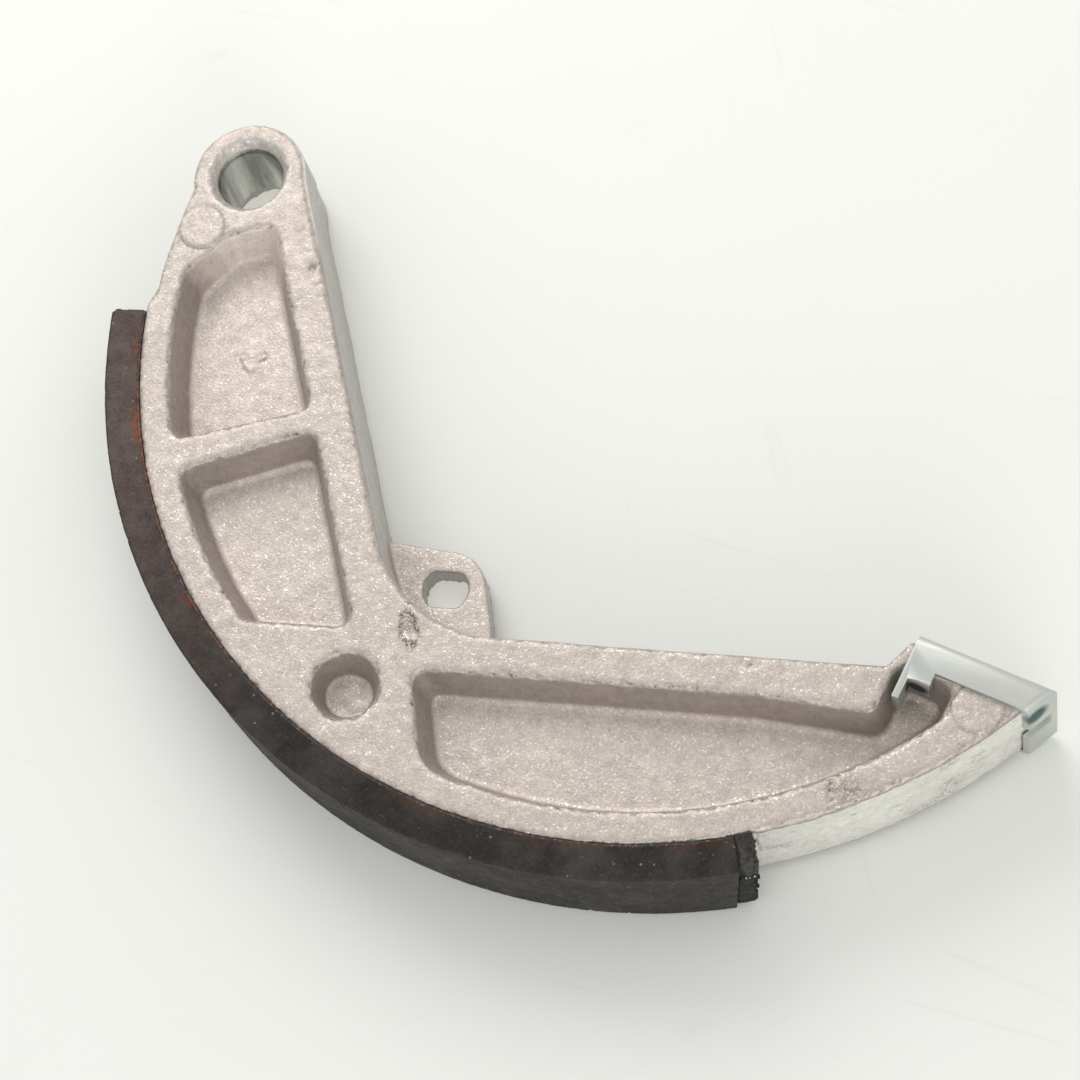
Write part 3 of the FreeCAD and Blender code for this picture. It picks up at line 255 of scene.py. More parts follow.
def write_skin(piece, spots):
    """Moves the vertices, but never out of the CAD model's box."""
    inside = np.clip(spots * MM, *CAD_BOX)
    piece.data.vertices.foreach_set("co", inside.ravel())
    piece.data.update()
    piece.data.shade_smooth()


# Large odd numbers that spread the cells of a noise over its table of random values
CELL_STEPS = (73856093, 19349663, 83492791)
TABLE_SIZE = 65536


def soft_noise(spots, spacing, seed):
    """Smooth random values from -1 to 1, spacing millimetres apart; each seed has its own."""
    table = np.random.default_rng(seed).uniform(-1, 1, TABLE_SIZE)
    grid = spots / spacing
    cell = np.floor(grid).astype(np.int64)
    part = grid - cell
    part = part * part * (3 - 2 * part)
    total = np.zeros(len(spots))
    for corner in np.ndindex(2, 2, 2):
        key, weight = 0, 1.0
        for axis, far in enumerate(corner):
            key = key ^ (cell[:, axis] + far) * CELL_STEPS[axis]
            weight = weight * (part[:, axis] if far else 1 - part[:, axis])
        total += weight * table[key & (TABLE_SIZE - 1)]
    return total


def hill(distance, width):
    """1 at no distance, falling softly to 0 within about two widths."""
    return np.exp(-(distance / width) ** 2)


def away_from(spots, centre):
    """Distance of each vertex from an axis that runs along the shoe's width."""
    return np.hypot(spots[:, 0] - centre[0], spots[:, 1] - centre[1])


def to_path(spots, path):
    """Distance of each vertex, seen along the axle, from a line through several points."""
    best = np.full(len(spots), np.inf)
    for (ax, ay), (bx, by) in zip(path, path[1:]):
        wx, wy = bx - ax, by - ay
        along = ((spots[:, 0] - ax) * wx + (spots[:, 1] - ay) * wy) / (wx * wx + wy * wy)
        along = np.clip(along, 0, 1)
        best = np.minimum(best, np.hypot(spots[:, 0] - ax - along * wx,
                                         spots[:, 1] - ay - along * wy))
    return best


def in_oval(spots, centre, way, long, short):
    """Distance from an oval's centre, 1 at its edge; way is its long direction in degrees."""
    turn = np.radians(way)
    dx, dy = spots[:, 0] - centre[0], spots[:, 1] - centre[1]
    along = dx * np.cos(turn) + dy * np.sin(turn)
    across = dy * np.cos(turn) - dx * np.sin(turn)
    return np.hypot(along / long, across / short)


# The cast skin. Widths, heights and depths are in millimetres.
EDGE_LUMPS, EDGE_GRIT = 0.19, 0.14
RIDGE_WIDTH = 0.26
STEP_HEIGHT, STEP_WIDTH = 0.11, 0.22

# Foot of the round recess: the side that was widened, how much, and where this ends
WIDENED_WAY = (-0.88, -0.45)
WIDENED_SHARE = 0.27
WIDENED_DEPTH = 4.2
WIDENED_REACH = 5.6
RECESS_FLOOR_RADIUS = 3.4
RECESS_DOME, RECESS_DOME_WIDTH = 0.2, 1.6

# Marks of the ejector pins: centre, radius, and depth as a share of the groove
PIN_MARKS = (((-2.1, -9.7), 3.2, 1.0), ((122.95, -30.9), 3.2, 0.5))
PIN_GROOVE, PIN_GROOVE_WIDTH, PIN_DISC = 0.18, 0.2, 0.06

# Flaws of this casting. An oval has its centre, its direction and its half length and width.
BLEMISH = ((10.2, -23.2), (11.4, -24.2), (12.3, -24.3), (12.1, -23.2), (12.9, -21.9))
BLEMISH_RIDGE, BLEMISH_GROOVE = 0.26, 0.12
ELBOW_SCAR, SCAR_DEPTH = ((52.2, -50.4), -52, 2.3, 1.15), 0.25
RIB_DENT, DENT_DEPTH = ((94.2, -37.0), 20, 1.6, 1.0), 0.20
ARM_NICK, NICK_DEPTH = ((15.5, -9.3), 0, 0.8, 0.8), 0.35
ARM_CRUMBS, CRUMB_HEIGHT = ((9.5, -3.4), (14.1, -7.6), (18.5, -12.4)), 0.25
TOE_PATCH = ((112.4, -46.9), 25, 2.9, 1.8)
TOE_STEP, TOE_STEP_DEPTH = ((110.2, -46.7), (111.3, -49.1)), 0.2


def zones_of(spots, normals):
    """Zones of the casting from 0 to 1, height above its wandering seam, and shared noise."""
    tilt, depth = np.abs(normals[:, 2]), spots[:, 2]
    wall = 1 - np.clip(tilt * 1.6, 0, 1)
    upward = np.clip(normals[:, 2] * 2 - 0.6, 0, 1)
    from_axle = away_from(spots, AXLE)
    under_lining = ((np.abs(from_axle - SEAT_RADIUS) < 0.35) & (spots[:, 0] < LINING_END)
                    & (wall > 0.3))
    outside_bore = np.clip((away_from(spots, PIVOT) - BORE_RADIUS - 0.3) / 0.5, 0, 1)
    return SimpleNamespace(
        wall=wall, upward=upward,
        face=upward * (depth > FACE - 1.2),
        floor=upward * hill(depth - POCKET_FLOOR, 1.0),
        edge=hill(tilt - 0.72, 0.2) * np.clip((np.abs(depth) - FACE + 1.1) / 0.5, 0, 1),
        free=outside_bore * np.where(under_lining, 0.25, 1),
        toe_wall=wall * (from_axle > SEAT_RADIUS - 1) * (spots[:, 0] > LINING_END),
        seam=depth - 0.8 * soft_noise(spots, 9.0, 5) - 0.25 * soft_noise(spots, 1.6, 6),
        coarse=soft_noise(spots, 0.85, 8), fine=soft_noise(spots, 0.42, 9))


def cast_skin(spots, zone, settings):
    """Swells, the parting ridge with its small step, and the broken edges of the faces."""
    swell = settings.waviness / MM
    height = swell * soft_noise(spots, 6.5, 1) + 0.55 * swell * soft_noise(spots, 2.0, 2)
    height += 0.45 * swell * soft_noise(spots, 0.9, 3)
    ridge = settings.ridge / MM * (0.7 + 0.6 * soft_noise(spots, 3.0, 7))
    height += zone.wall * (ridge * hill(zone.seam, RIDGE_WIDTH)
                           + STEP_HEIGHT * np.tanh(zone.seam / STEP_WIDTH))
    height += zone.edge * (EDGE_LUMPS * soft_noise(spots, 0.75, 12) + EDGE_GRIT * zone.fine)
    return height * zone.free, 0.9 * zone.edge * np.clip(-zone.fine * 1.6 - 0.25, 0, 1)


def torn_walls(spots, zone):
    """Torn spots along the parting line, with painted shade below its step, and crumbly blotches
    on the toe's outer wall.
    """
    # Dark band just under the parting line: torn skin and painted shade below its step
    seam = hill(zone.seam + 0.2, 0.2) * np.clip(0.5 + 2 * soft_noise(spots, 4.0, 15), 0, 1)
    blotch = np.clip(1.6 * soft_noise(spots, 3.2, 16) - 0.35, 0, 1) * (zone.fine < 0.1)
    torn = np.maximum((0.25 * zone.wall * zone.free + 0.45 * zone.toe_wall) * seam,
                      0.5 * zone.toe_wall * blotch)
    return zone.toe_wall * (0.10 * zone.fine * blotch + 0.05 * zone.coarse), torn


def pin_marks(spots, zone):
    """Grooves round the marks of the ejector pins, whose discs stand a little proud, with painted
    shade in the grooves.
    """
    height, torn = 0.0, 0.0
    for centre, radius, share in PIN_MARKS:
        ring = away_from(spots, centre) - radius
        groove = PIN_GROOVE * hill(ring - 0.15, PIN_GROOVE_WIDTH)
        height = height + share * zone.face * (PIN_DISC * (ring < 0) - groove)
        # Painted shade in the groove round each disc
        torn = np.maximum(torn, 0.36 * share * zone.face * hill(ring - 0.15, 0.16))
    return height, torn


def recess_floor(spots, zone):
    """The swollen, lumpy floor of the round recess."""
    away = away_from(spots, RECESS)
    inside = zone.upward * (away < RECESS_FLOOR_RADIUS)
    return inside * (RECESS_DOME * hill(away, RECESS_DOME_WIDTH) + 0.10 * zone.coarse), 0.0


def floor_blemish(spots, zone):
    """A small ragged ridge on the floor of the upper pocket."""
    away = to_path(spots, BLEMISH) + 0.22 * zone.coarse + 0.15 * zone.fine
    there = zone.floor * np.clip(0.75 + 1.2 * soft_noise(spots, 1.1, 14), 0, 1)
    height = there * (BLEMISH_RIDGE * hill(away, 0.26) - BLEMISH_GROOVE * hill(away - 0.5, 0.2))
    return height, 0.4 * there * hill(away - 0.45, 0.22)


def elbow_scar(spots, zone):
    """The torn oval beside the spring ear."""
    away = in_oval(spots, *ELBOW_SCAR) + 0.22 * zone.fine
    rough = 0.22 * zone.coarse + 0.12 * zone.fine - SCAR_DEPTH
    torn = np.maximum(hill(away - 0.95, 0.22), 0.6 * hill(away, 0.8) * (zone.coarse < 0.1))
    return zone.face * hill(away, 0.85) * rough, zone.face * torn


def rib_dent(spots, zone):
    """A shallow dent in the rib along the toe."""
    dent = zone.face * hill(in_oval(spots, *RIB_DENT), 0.9)
    return dent * (0.25 * zone.coarse - DENT_DEPTH), 0.5 * dent * (zone.fine < 0)


def arm_nick(spots, zone):
    """A nick in the arm's edge, and crumbs of metal along the same edge."""
    nick = hill(in_oval(spots, *ARM_NICK), 0.8) * (spots[:, 2] > FACE - 1.8)
    crumbs = hill(to_path(spots, ARM_CRUMBS), 0.8) * (spots[:, 2] > FACE - 1.5)
    return CRUMB_HEIGHT * crumbs * np.clip(zone.coarse, 0, 1) - NICK_DEPTH * nick, 0.7 * nick


def toe_patch(spots, zone):
    """A rough patch on the rim near the toe, with a small step beside it."""
    patch = zone.face * hill(in_oval(spots, *TOE_PATCH), 0.9)
    step = zone.face * hill(to_path(spots, TOE_STEP) + 0.2 * zone.fine, 0.28)
    height = patch * (0.05 * zone.coarse + 0.13 * zone.fine) - TOE_STEP_DEPTH * step
    return height, np.maximum(0.5 * patch, 0.8 * step)


FLAWS = (torn_walls, pin_marks, recess_floor, floor_blemish, elbow_scar, rib_dent, arm_nick,
         toe_patch)


def casting_relief(spots, normals, settings):
    """Height added to the casting's skin, in millimetres, and how torn it is there, painted shade
    under the parting step and in the pins' grooves included.
    """
    zone = zones_of(spots, normals)
    height, torn = cast_skin(spots, zone, settings)
    for flaw in FLAWS:
        added, ripped = flaw(spots, zone)
        height = height + added
        torn = np.maximum(torn, ripped)
    return height, torn


def widen_recess(spots):
    """Widens the foot of the round recess towards the lining, as a worn core leaves it."""
    flat = spots[:, :2] - RECESS
    away = np.maximum(np.hypot(flat[:, 0], flat[:, 1]), 0.1)
    side = np.clip(flat @ np.array(WIDENED_WAY) / away, 0, 1)
    depth = np.clip((FACE - 0.3 - spots[:, 2]) / WIDENED_DEPTH, 0, 1)
    reach = np.clip((WIDENED_REACH - away) / 0.6, 0, 1) * (spots[:, 2] > POCKET_FLOOR + 0.4)
    moved = spots.copy()
    moved[:, :2] += flat * (WIDENED_SHARE * side * depth * reach)[:, None]
    return moved


def casting_piece(settings):
    """The casting in its cast skin; the attribute torn marks its rough spots and the painted shade
    under the parting step and in the pins' grooves.
    """
    piece = copy_node("shoe_casting", "cast_shoe")
    recast(piece, settings.voxel, 2)
    spots, normals = read_skin(piece)
    height, torn = casting_relief(spots, normals, settings)
    write_skin(piece, widen_recess(spots) + normals * height[:, None])
    piece.data.attributes.new("torn", "FLOAT", "POINT").data.foreach_set("value", torn)
    return piece


# Wear of the lining's edges and its pits; noise over PIT_START makes a pit
EDGE_WEAR = 0.16
PIT_DEPTH, PIT_START = 0.14, 0.62


def lining_piece(settings):
    """The lining with ground faces, slightly broken edges and pits."""
    piece = copy_node("friction_lining", "lining_block")
    recast(piece, settings.voxel, 1)
    spots, normals = read_skin(piece)
    height = 0.02 * soft_noise(spots, 2.5, 21) + 0.012 * soft_noise(spots, 0.6, 22)
    on_edge = hill(np.abs(normals[:, 2]) - 0.7, 0.25)
    height -= on_edge * EDGE_WEAR * np.clip(soft_noise(spots, 1.3, 23), 0, 1)
    pits = np.clip(soft_noise(spots, 0.8, 24) - PIT_START, 0, 1)
    height -= PIT_DEPTH * pits / (1 - PIT_START)
    write_skin(piece, spots + normals * height[:, None])
    return piece


def sector(bm, radii, angles, levels, lean=0.0):
    """Adds a block between two radii, angles and levels about the axle; lean shifts its foot."""
    (inner, outer), (first, last), (low, high) = radii, angles, levels
    steps = max(2, round((last - first) / 0.5))
    rows = []
    for step in range(steps + 1):
        angle = first + (last - first) * step / steps
        row = []
        for radius, level in ((inner, low), (outer, low), (outer, high), (inner, high)):
            turn = np.radians(angle) - lean * (high - level) / radius
            row.append(bm.verts.new(((AXLE[0] + radius * np.cos(turn)) * MM,
                                     (AXLE[1] + radius * np.sin(turn)) * MM, level * MM)))
        rows.append(row)
    for row, following in zip(rows, rows[1:]):
        for a in range(4):
            b = (a + 1) % 4
            bm.faces.new((row[a], row[b], following[b], following[a]))
    bm.faces.new(rows[0][::-1])
    bm.faces.new(rows[-1])
    bmesh.ops.recalc_face_normals(bm, faces=bm.faces)


# The bead: each lobe's radii, angles about the axle and levels; how far the lobes lean, for
# each millimetre down, at what radius; and the angle past which their skin is torn
BEAD_LOBES = (((70.2, 74.2), (304.20, 306.2), (3.15, 8.0)),
              ((70.2, 74.5), (304.36, 306.35), (-8.0, 3.0)),
              ((70.2, 72.2), (304.4, 306.0), (-7.0, 7.4)))
BEAD_LEAN = 1.9 / 16
BEAD_RADIUS = 73.0
BEAD_START = 304.6


def bead_piece(settings):
    """Charred adhesive, torn in two lobes past the toe end of the lining."""
    bm = bmesh.new()
    for radii, angles, levels in BEAD_LOBES:
        shift = np.degrees(BEAD_LEAN * (FACE - levels[1]) / BEAD_RADIUS)
        sector(bm, radii, (angles[0] - shift, angles[1] - shift), levels, BEAD_LEAN)
    piece = drawn_piece("adhesive_bead", bm)
    recast(piece, settings.voxel, 3)
    spots, normals = read_skin(piece)
    rag = settings.raggedness / MM
    height = rag * (0.6 * soft_noise(spots, 1.6, 31) + 0.45 * soft_noise(spots, 0.7, 32)
                    + 0.25 * soft_noise(spots, 0.35, 33)) - 0.25 * rag
    turn = np.degrees(np.arctan2(spots[:, 1], spots[:, 0] - AXLE[0])) + 360
    away = np.clip((turn - BEAD_START) / 0.8, 0.25, 1)
    height = away * (height + rag * 0.7 * away * soft_noise(spots, 0.45, 34))
    height *= np.clip((away_from(spots, AXLE) - SEAT_RADIUS) / 0.4, 0, 1)
    write_skin(piece, spots + normals * height[:, None])
    return piece


# Sand grains caught in the slit between the lobes: angle, radius, level and size. How often
# the surface of one swells, and how far that of the next is shifted
CRUMBS = ((304.6, 74.4, 3.0, 0.10), (304.95, 74.5, 3.15, 0.07), (305.45, 74.4, 3.05, 0.11),
          (306.0, 74.2, 3.1, 0.08))
LUMPS, LUMP_SHIFT = 37, 11


def crumb_piece():
    """Pale grains in the slit of the bead, each a lumpy ball."""
    bm = bmesh.new()
    for angle, radius, level, size in CRUMBS:
        turn = np.radians(angle)
        centre = Vector((AXLE[0] + radius * np.cos(turn), AXLE[1] + radius * np.sin(turn),
                         level)) * MM
        made = bmesh.ops.create_icosphere(bm, subdivisions=2, radius=size * MM,
                                          matrix=Matrix.Translation(centre))
        for vertex in made["verts"]:
            away = vertex.co - centre
            lump = abs(np.sin(LUMPS * away.x / MM / size + LUMP_SHIFT * level))
            vertex.co = centre + away * (0.75 + 0.5 * lump)
    return drawn_piece("sand_grains", bm)


# The film in the joint, a little inside the ends and sides of the lining
FILM_RADII = (70.25, 70.72)
FILM_ANGLES = (199.9, 304.4)
FILM_LEVELS = (-7.9, 7.86)


def film_piece():
    """Thin line of adhesive between lining and casting."""
    bm = bmesh.new()
    sector(bm, FILM_RADII, FILM_ANGLES, FILM_LEVELS)
    return drawn_piece("adhesive_film", bm)


# The cap's edges: slack when points are joined and edges looked for, in millimetres, bends
# that count as flat and as sharp, in degrees, and the steps of each rounding
JOIN_SLACK, EDGE_SLACK = 0.002, 0.02
FLAT_BEND, SHARP_BEND = 1, 40
LIP_STEPS, EDGE_STEPS = 8, 3


def bend_edge(bm, first, second, radius):
    """Rounds the edges between two corners given in millimetres."""
    low, high = Vector(first) * MM, Vector(second) * MM
    way, slack = (high - low).normalized(), EDGE_SLACK * MM
    found = []
    for edge in bm.edges:
        ends = [vertex.co - low for vertex in edge.verts]
        straight = all((end - way * end.dot(way)).length < slack for end in ends)
        inside = all(-slack < end.dot(way) < (high - low).length + slack for end in ends)
        if straight and inside:
            found.append(edge)
    if not found:
        raise RuntimeError("the cap has no edge where its lip bends")
    bmesh.ops.bevel(bm, geom=found, offset=radius, segments=LIP_STEPS, profile=0.5,
                    affect="EDGES")


def cap_piece(settings):
    """The folded sheet: its lip gets a true bend, then all sheared edges are broken."""
    piece = copy_node("cam_end_cap", "folded_cap")
    bm = bmesh.new()
    bm.from_mesh(piece.data)
    bmesh.ops.remove_doubles(bm, verts=bm.verts, dist=JOIN_SLACK * MM)
    bmesh.ops.dissolve_limit(bm, angle_limit=np.radians(FLAT_BEND), verts=bm.verts,
                             edges=bm.edges)
    bend_edge(bm, *LIP_BEND, settings.lip_bend)
    bm.to_mesh(piece.data)
    bm.free()
    bevel = piece.modifiers.new("edges", "BEVEL")
    bevel.width = settings.bevel
    bevel.segments = EDGE_STEPS
    bevel.limit_method = "ANGLE"
    bevel.angle_limit = np.radians(SHARP_BEND)
    apply_modifiers(piece)
    piece.data.shade_smooth()
    return piece


# Shader nodes

def fill(tree, node, inputs):
    """Gives each named input of a node a value or the socket of another node."""
    for key, value in inputs.items():
        if isinstance(value, bpy.types.NodeSocket):
            tree.links.new(value, node.inputs[key])
        else:
            node.inputs[key].default_value = value
    return node


def put(tree, kind, inputs=None, **settings):
    """Adds a shader node with its settings and inputs."""
    node = tree.nodes.new(f"ShaderNode{kind}")
    for name, value in settings.items():
        setattr(node, name, value)
    return fill(tree, node, inputs or {})


def calc(tree, operation, first, second=0.0, clamp=False):
    """The result of one sum on two numbers."""
    node = put(tree, "Math", {0: first, 1: second}, operation=operation, use_clamp=clamp)
    return node.outputs[0]


def product(tree, *factors):
    """All factors multiplied, from the first to the last."""
    result = factors[0]
    for factor in factors[1:]:
        result = calc(tree, "MULTIPLY", result, factor)
    return result


def rest(tree, share):
    """What a share leaves of 1."""
    return calc(tree, "SUBTRACT", 1.0, share)


def spread(tree, value, low, high, to_low=0.0, to_high=1.0):
    """Maps a range of values to another, held at its ends."""
    return put(tree, "MapRange", {0: value, 1: low, 2: high, 3: to_low, 4: to_high},
               clamp=True).outputs[0]


def fade(tree, distance, low, high, to_low=0.0, to_high=1.0):
    """Maps a range of distances, given in millimetres, to values held at its ends."""
    return spread(tree, distance, low * MM, high * MM, to_low, to_high)


def parts_of(tree, vector):
    """The x, y and z of a vector."""
    return put(tree, "SeparateXYZ", {0: vector}).outputs


def scaled(tree, vector, factors):
    """A vector with x, y and z each multiplied by its own factor."""
    return put(tree, "VectorMath", {0: vector, 1: factors}, operation="MULTIPLY").outputs[0]


def distance_from(tree, coords, centre, factors):
    """Distance from a place given in millimetres, with x, y and z weighed by factors."""
    origin = tuple(value * MM for value in centre)
    away = put(tree, "VectorMath", {0: coords, 1: origin}, operation="SUBTRACT").outputs[0]
    away = scaled(tree, away, factors)
    return put(tree, "VectorMath", {0: away}, operation="LENGTH").outputs["Value"]


def radius_about(tree, coords, centre):
    """Distance from an axis that runs along the shoe's width."""
    return distance_from(tree, coords, (*centre, 0.0), (1.0, 1.0, 0.0))


def turn_about(tree, place):
    """Direction from the axle in radians, from the x and y of a place."""
    return calc(tree, "ARCTAN2", place[1], calc(tree, "SUBTRACT", place[0], AXLE[0] * MM))


def tint(tree, factor, first, second, mode="MIX"):
    """Mixes two colours, each a socket or three numbers."""
    first, second = (color if isinstance(color, bpy.types.NodeSocket) else (*color, 1.0)
                     for color in (first, second))
    return put(tree, "Mix", {0: factor, 6: first, 7: second}, data_type="RGBA",
               blend_type=mode).outputs[2]


def shaded(tree, color, tone):
    """A colour made brighter by a tone over 1 and darker by one under 1."""
    grey = put(tree, "CombineColor", {0: tone, 1: tone, 2: tone}).outputs[0]
    return tint(tree, 1.0, color, grey, "MULTIPLY")


def scaled_noise(tree, vector, scale, detail, rough=0.5):
    """Noise with a given number of lumps in a metre."""
    return put(tree, "TexNoise", {"Vector": vector, "Scale": scale, "Detail": detail,
                                  "Roughness": rough}).outputs[0]


def noise(tree, vector, size, detail=2.0, rough=0.5):
    """Noise with lumps of a size in millimetres."""
    return scaled_noise(tree, vector, 1 / (size * MM), detail, rough)


def new_group(name, numbers, results):
    """A group that works on a vector and some numbers: its tree, inputs and output node."""
    tree = bpy.data.node_groups.new(name, "ShaderNodeTree")
    add = tree.interface.new_socket
    add(name="Vector", in_out="INPUT", socket_type="NodeSocketVector")
    for label, default in numbers.items():
        socket = add(name=label, in_out="INPUT", socket_type="NodeSocketFloat")
        socket.default_value = default
    for label in results:
        add(name=label, in_out="OUTPUT", socket_type="NodeSocketFloat")
    return tree, tree.nodes.new("NodeGroupInput").outputs, tree.nodes.new("NodeGroupOutput")


def grain_group():
    """Fine grain of cast, moulded and charred skins: height, tone and glinting specks."""
    if "skin_grain" in bpy.data.node_groups:
        return bpy.data.node_groups["skin_grain"]
    tree, given, out = new_group("skin_grain", {"Scale": 3000.0, "Glint Share": 0.05},
                                 ("Height", "Tone", "Glint"))
    vector, scale = given["Vector"], given["Scale"]
    fine = scaled_noise(tree, vector, scale, 3.0, 0.6)
    broad = scaled_noise(tree, vector, product(tree, scale, 0.22), 2.0)
    cells = put(tree, "TexVoronoi", {"Vector": vector, "Scale": scale}).outputs
    dome = rest(tree, cells["Distance"])
    pick = put(tree, "SeparateColor", {0: cells["Color"]}).outputs[0]
    lucky = calc(tree, "GREATER_THAN", pick, rest(tree, given["Glint Share"]))
    fill(tree, out, {
        "Height": calc(tree, "ADD", product(tree, fine, 0.9), product(tree, dome, 0.35)),
        "Tone": calc(tree, "ADD", product(tree, fine, 0.55), product(tree, broad, 0.45)),
        "Glint": product(tree, lucky, spread(tree, cells["Distance"], 0.55, 0.25))})
    return tree


def dust_group():
    """Pale dust and smears that lie on a surface in clouds and specks."""
    if "dust_film" in bpy.data.node_groups:
        return bpy.data.node_groups["dust_film"]
    tree, given, out = new_group("dust_film", {"Amount": 0.3}, ("Mask",))
    cloud = spread(tree, noise(tree, given["Vector"], 7.0, 4.0), 0.42, 0.72)
    specks = spread(tree, noise(tree, given["Vector"], 0.5, 1.0), 0.66, 0.74)
    both = calc(tree, "ADD", cloud, specks)
    fill(tree, out, {"Mask": calc(tree, "MULTIPLY", both, given["Amount"], clamp=True)})
    return tree


def grain_of(tree, coords, scale, glints):
    """The shared grain with its own scale and share of glinting specks."""
    return put(tree, "Group", {"Vector": coords, "Scale": scale, "Glint Share": glints},
               node_tree=grain_group()).outputs


def dusted(tree, coords, color, amount, dust_color):
    """A colour under the shared film of dust."""
    mask = put(tree, "Group", {"Vector": coords, "Amount": amount},
               node_tree=dust_group()).outputs["Mask"]
    return tint(tree, mask, color, dust_color)


def new_look(name):
    """A material with its tree, its main shader and the coordinates of the piece."""
    look = bpy.data.materials.new(name)
    look.use_nodes = True
    tree = look.node_tree
    shader = tree.nodes["Principled BSDF"]
    coords = put(tree, "TexCoord").outputs["Object"]
    return look, tree, shader, coords


def bump(tree, shader, height, depth):
    """Fine relief of a surface, with its depth in millimetres."""
    node = put(tree, "Bump", {"Height": height, "Distance": depth * MM})
    fill(tree, shader, {"Normal": node.outputs[0]})


# Tones of the cast skin besides the settings' colours
# Painted light on the sloping pocket walls beside the boss
BOSS_WALL_PAINTED_LIGHT = (0.97, 0.89, 0.82)
CLOUD_TONE = (0.50, 0.43, 0.40)
# Pale flecks of the grain, partly painted sparkle
FLECK_AND_SPARKLE_TONE = (0.97, 0.93, 0.90)
PIT_TONE = (0.30, 0.25, 0.21)
# Painted highlights of glinting specks
GLINT_TONE = (1.0, 0.96, 0.92)
# Dull and bright tones of the bore's mouth; the bright flecks are painted sparkle
MOUTH_TONES_AND_SPARKLE = ((0.60, 0.55, 0.515), (1.0, 0.98, 0.95))
BORE_TONES = ((0.28, 0.285, 0.26), (0.74, 0.76, 0.72))


def cast_zones(tree, coords):
    """Where on the casting a spot lies, each zone from 0 to about 1."""
    normal = parts_of(tree, put(tree, "NewGeometry").outputs["Normal"])
    place = parts_of(tree, coords)
    upright = calc(tree, "ABSOLUTE", normal[2])
    level = calc(tree, "ABSOLUTE", place[2])
    from_pivot = radius_about(tree, coords, PIVOT)
    outer = calc(tree, "MAXIMUM", spread(tree, upright, 0.17, 0.09), fade(tree, level, 1.85, 1.6))
    return SimpleNamespace(
        sunk=fade(tree, level, 5.0, 3.4),
        sloping=spread(tree, upright, 0.90, 0.45),
        outer=outer,
        # Outer walls of the toe that face towards -y; they get the painted reflection
        toe=product(tree, spread(tree, normal[1], 0.1, -0.2),
                    fade(tree, radius_about(tree, coords, AXLE), 68.0, 69.0),
                    fade(tree, place[0], 50.0, 60.0)),
        # Pocket walls beside the boss, which get painted light
        boss=product(tree, fade(tree, from_pivot, 17.5, 11.5), rest(tree, outer),
                     fade(tree, place[2], 1.6, 2.2)),
        away=fade(tree, from_pivot, 12.0, 55.0, 0.4, 1.1),
        mouth=fade(tree, from_pivot, 6.2, 5.9),
        bore=fade(tree, from_pivot, 4.75, 4.6))


def cast_marks(tree, coords, grain, zone):
    """Marks strewn over the casting, with the specks of painted sparkle and glints, each from 0 to
    about 1.
    """
    torn = put(tree, "Attribute", attribute_name="torn").outputs["Fac"]
    crumbly = spread(tree, noise(tree, coords, 0.30, 2.0, 0.6), 0.42, 0.55, 0.12, 1.35)
    return SimpleNamespace(
        clouds=spread(tree, noise(tree, coords, 11.0, 4.0), 0.38, 0.66),
        pale_flecks_and_sparkle=spread(tree, noise(tree, coords, 0.50, 3.0, 0.65), 0.56, 0.70),
        pits=spread(tree, noise(tree, coords, 0.60, 3.0, 0.6), 0.36, 0.30),
        torn=calc(tree, "MULTIPLY", torn, crumbly, clamp=True),
        glints=product(tree, grain["Glint"], rest(tree, zone.sloping), zone.away))


def skin_color(tree, grain, zone, mark, settings):
    """Colour of the clean skin in each zone, with painted shade on the pocket and arm walls and
    painted light on the toe's wall and beside the boss, then the grain's tone and all marks with
    painted sparkle and glints.
    """
    color = tint(tree, zone.sunk, settings.face_color, settings.floor_color)
    # Painted shade darkens the sloping walls of the pockets
    color = tint(tree, zone.sloping, color, settings.pocket_painted_shade_color)
    # Lit and shaded copies of the outer walls: painted shade on the arm's side, painted reflection
    # on the toe's side
    wall = tint(tree, zone.toe, settings.arm_painted_shade_color, settings.wall_painted_reflection_color)
    color = tint(tree, zone.outer, color, wall)
    # Painted light brightens the sloping walls beside the boss
    color = tint(tree, product(tree, zone.boss, zone.sloping, 0.9), color, BOSS_WALL_PAINTED_LIGHT)
    color = shaded(tree, color, spread(tree, grain["Tone"], 0.32, 0.68, 0.80, 1.16))
    color = tint(tree, product(tree, mark.clouds, 0.22), color, CLOUD_TONE)
    # Pale flecks of the grain with painted sparkle, fewer on the sloping walls
    pale = calc(tree, "SUBTRACT", 0.38, product(tree, zone.sloping, 0.30))
    color = tint(tree, product(tree, mark.pale_flecks_and_sparkle, pale), color, FLECK_AND_SPARKLE_TONE)
    color = tint(tree, product(tree, mark.pits, 0.45), color, PIT_TONE)
    # Torn spots, and painted shade under the parting step and in the pins' grooves
    color = tint(tree, mark.torn, color, settings.flaw_color)
    # Painted highlights: glints mixed into the colour
    return tint(tree, product(tree, mark.glints, 0.36), color, GLINT_TONE)


def bore_color(tree, color, coords, zone, mark):
    """The colour with the bore's mouth, flecked with painted sparkle, and its worn, streaky wall.
    """
    mouth = tint(tree, mark.pale_flecks_and_sparkle, *MOUTH_TONES_AND_SPARKLE)
    color = tint(tree, product(tree, zone.mouth, 0.8), color, mouth)
    streaks = noise(tree, scaled(tree, coords, (1.0, 1.0, 0.12)), 2.4, 4.0)
    worn = spread(tree, streaks, 0.38, 0.62)
    return tint(tree, zone.bore, color, tint(tree, worn, *BORE_TONES))


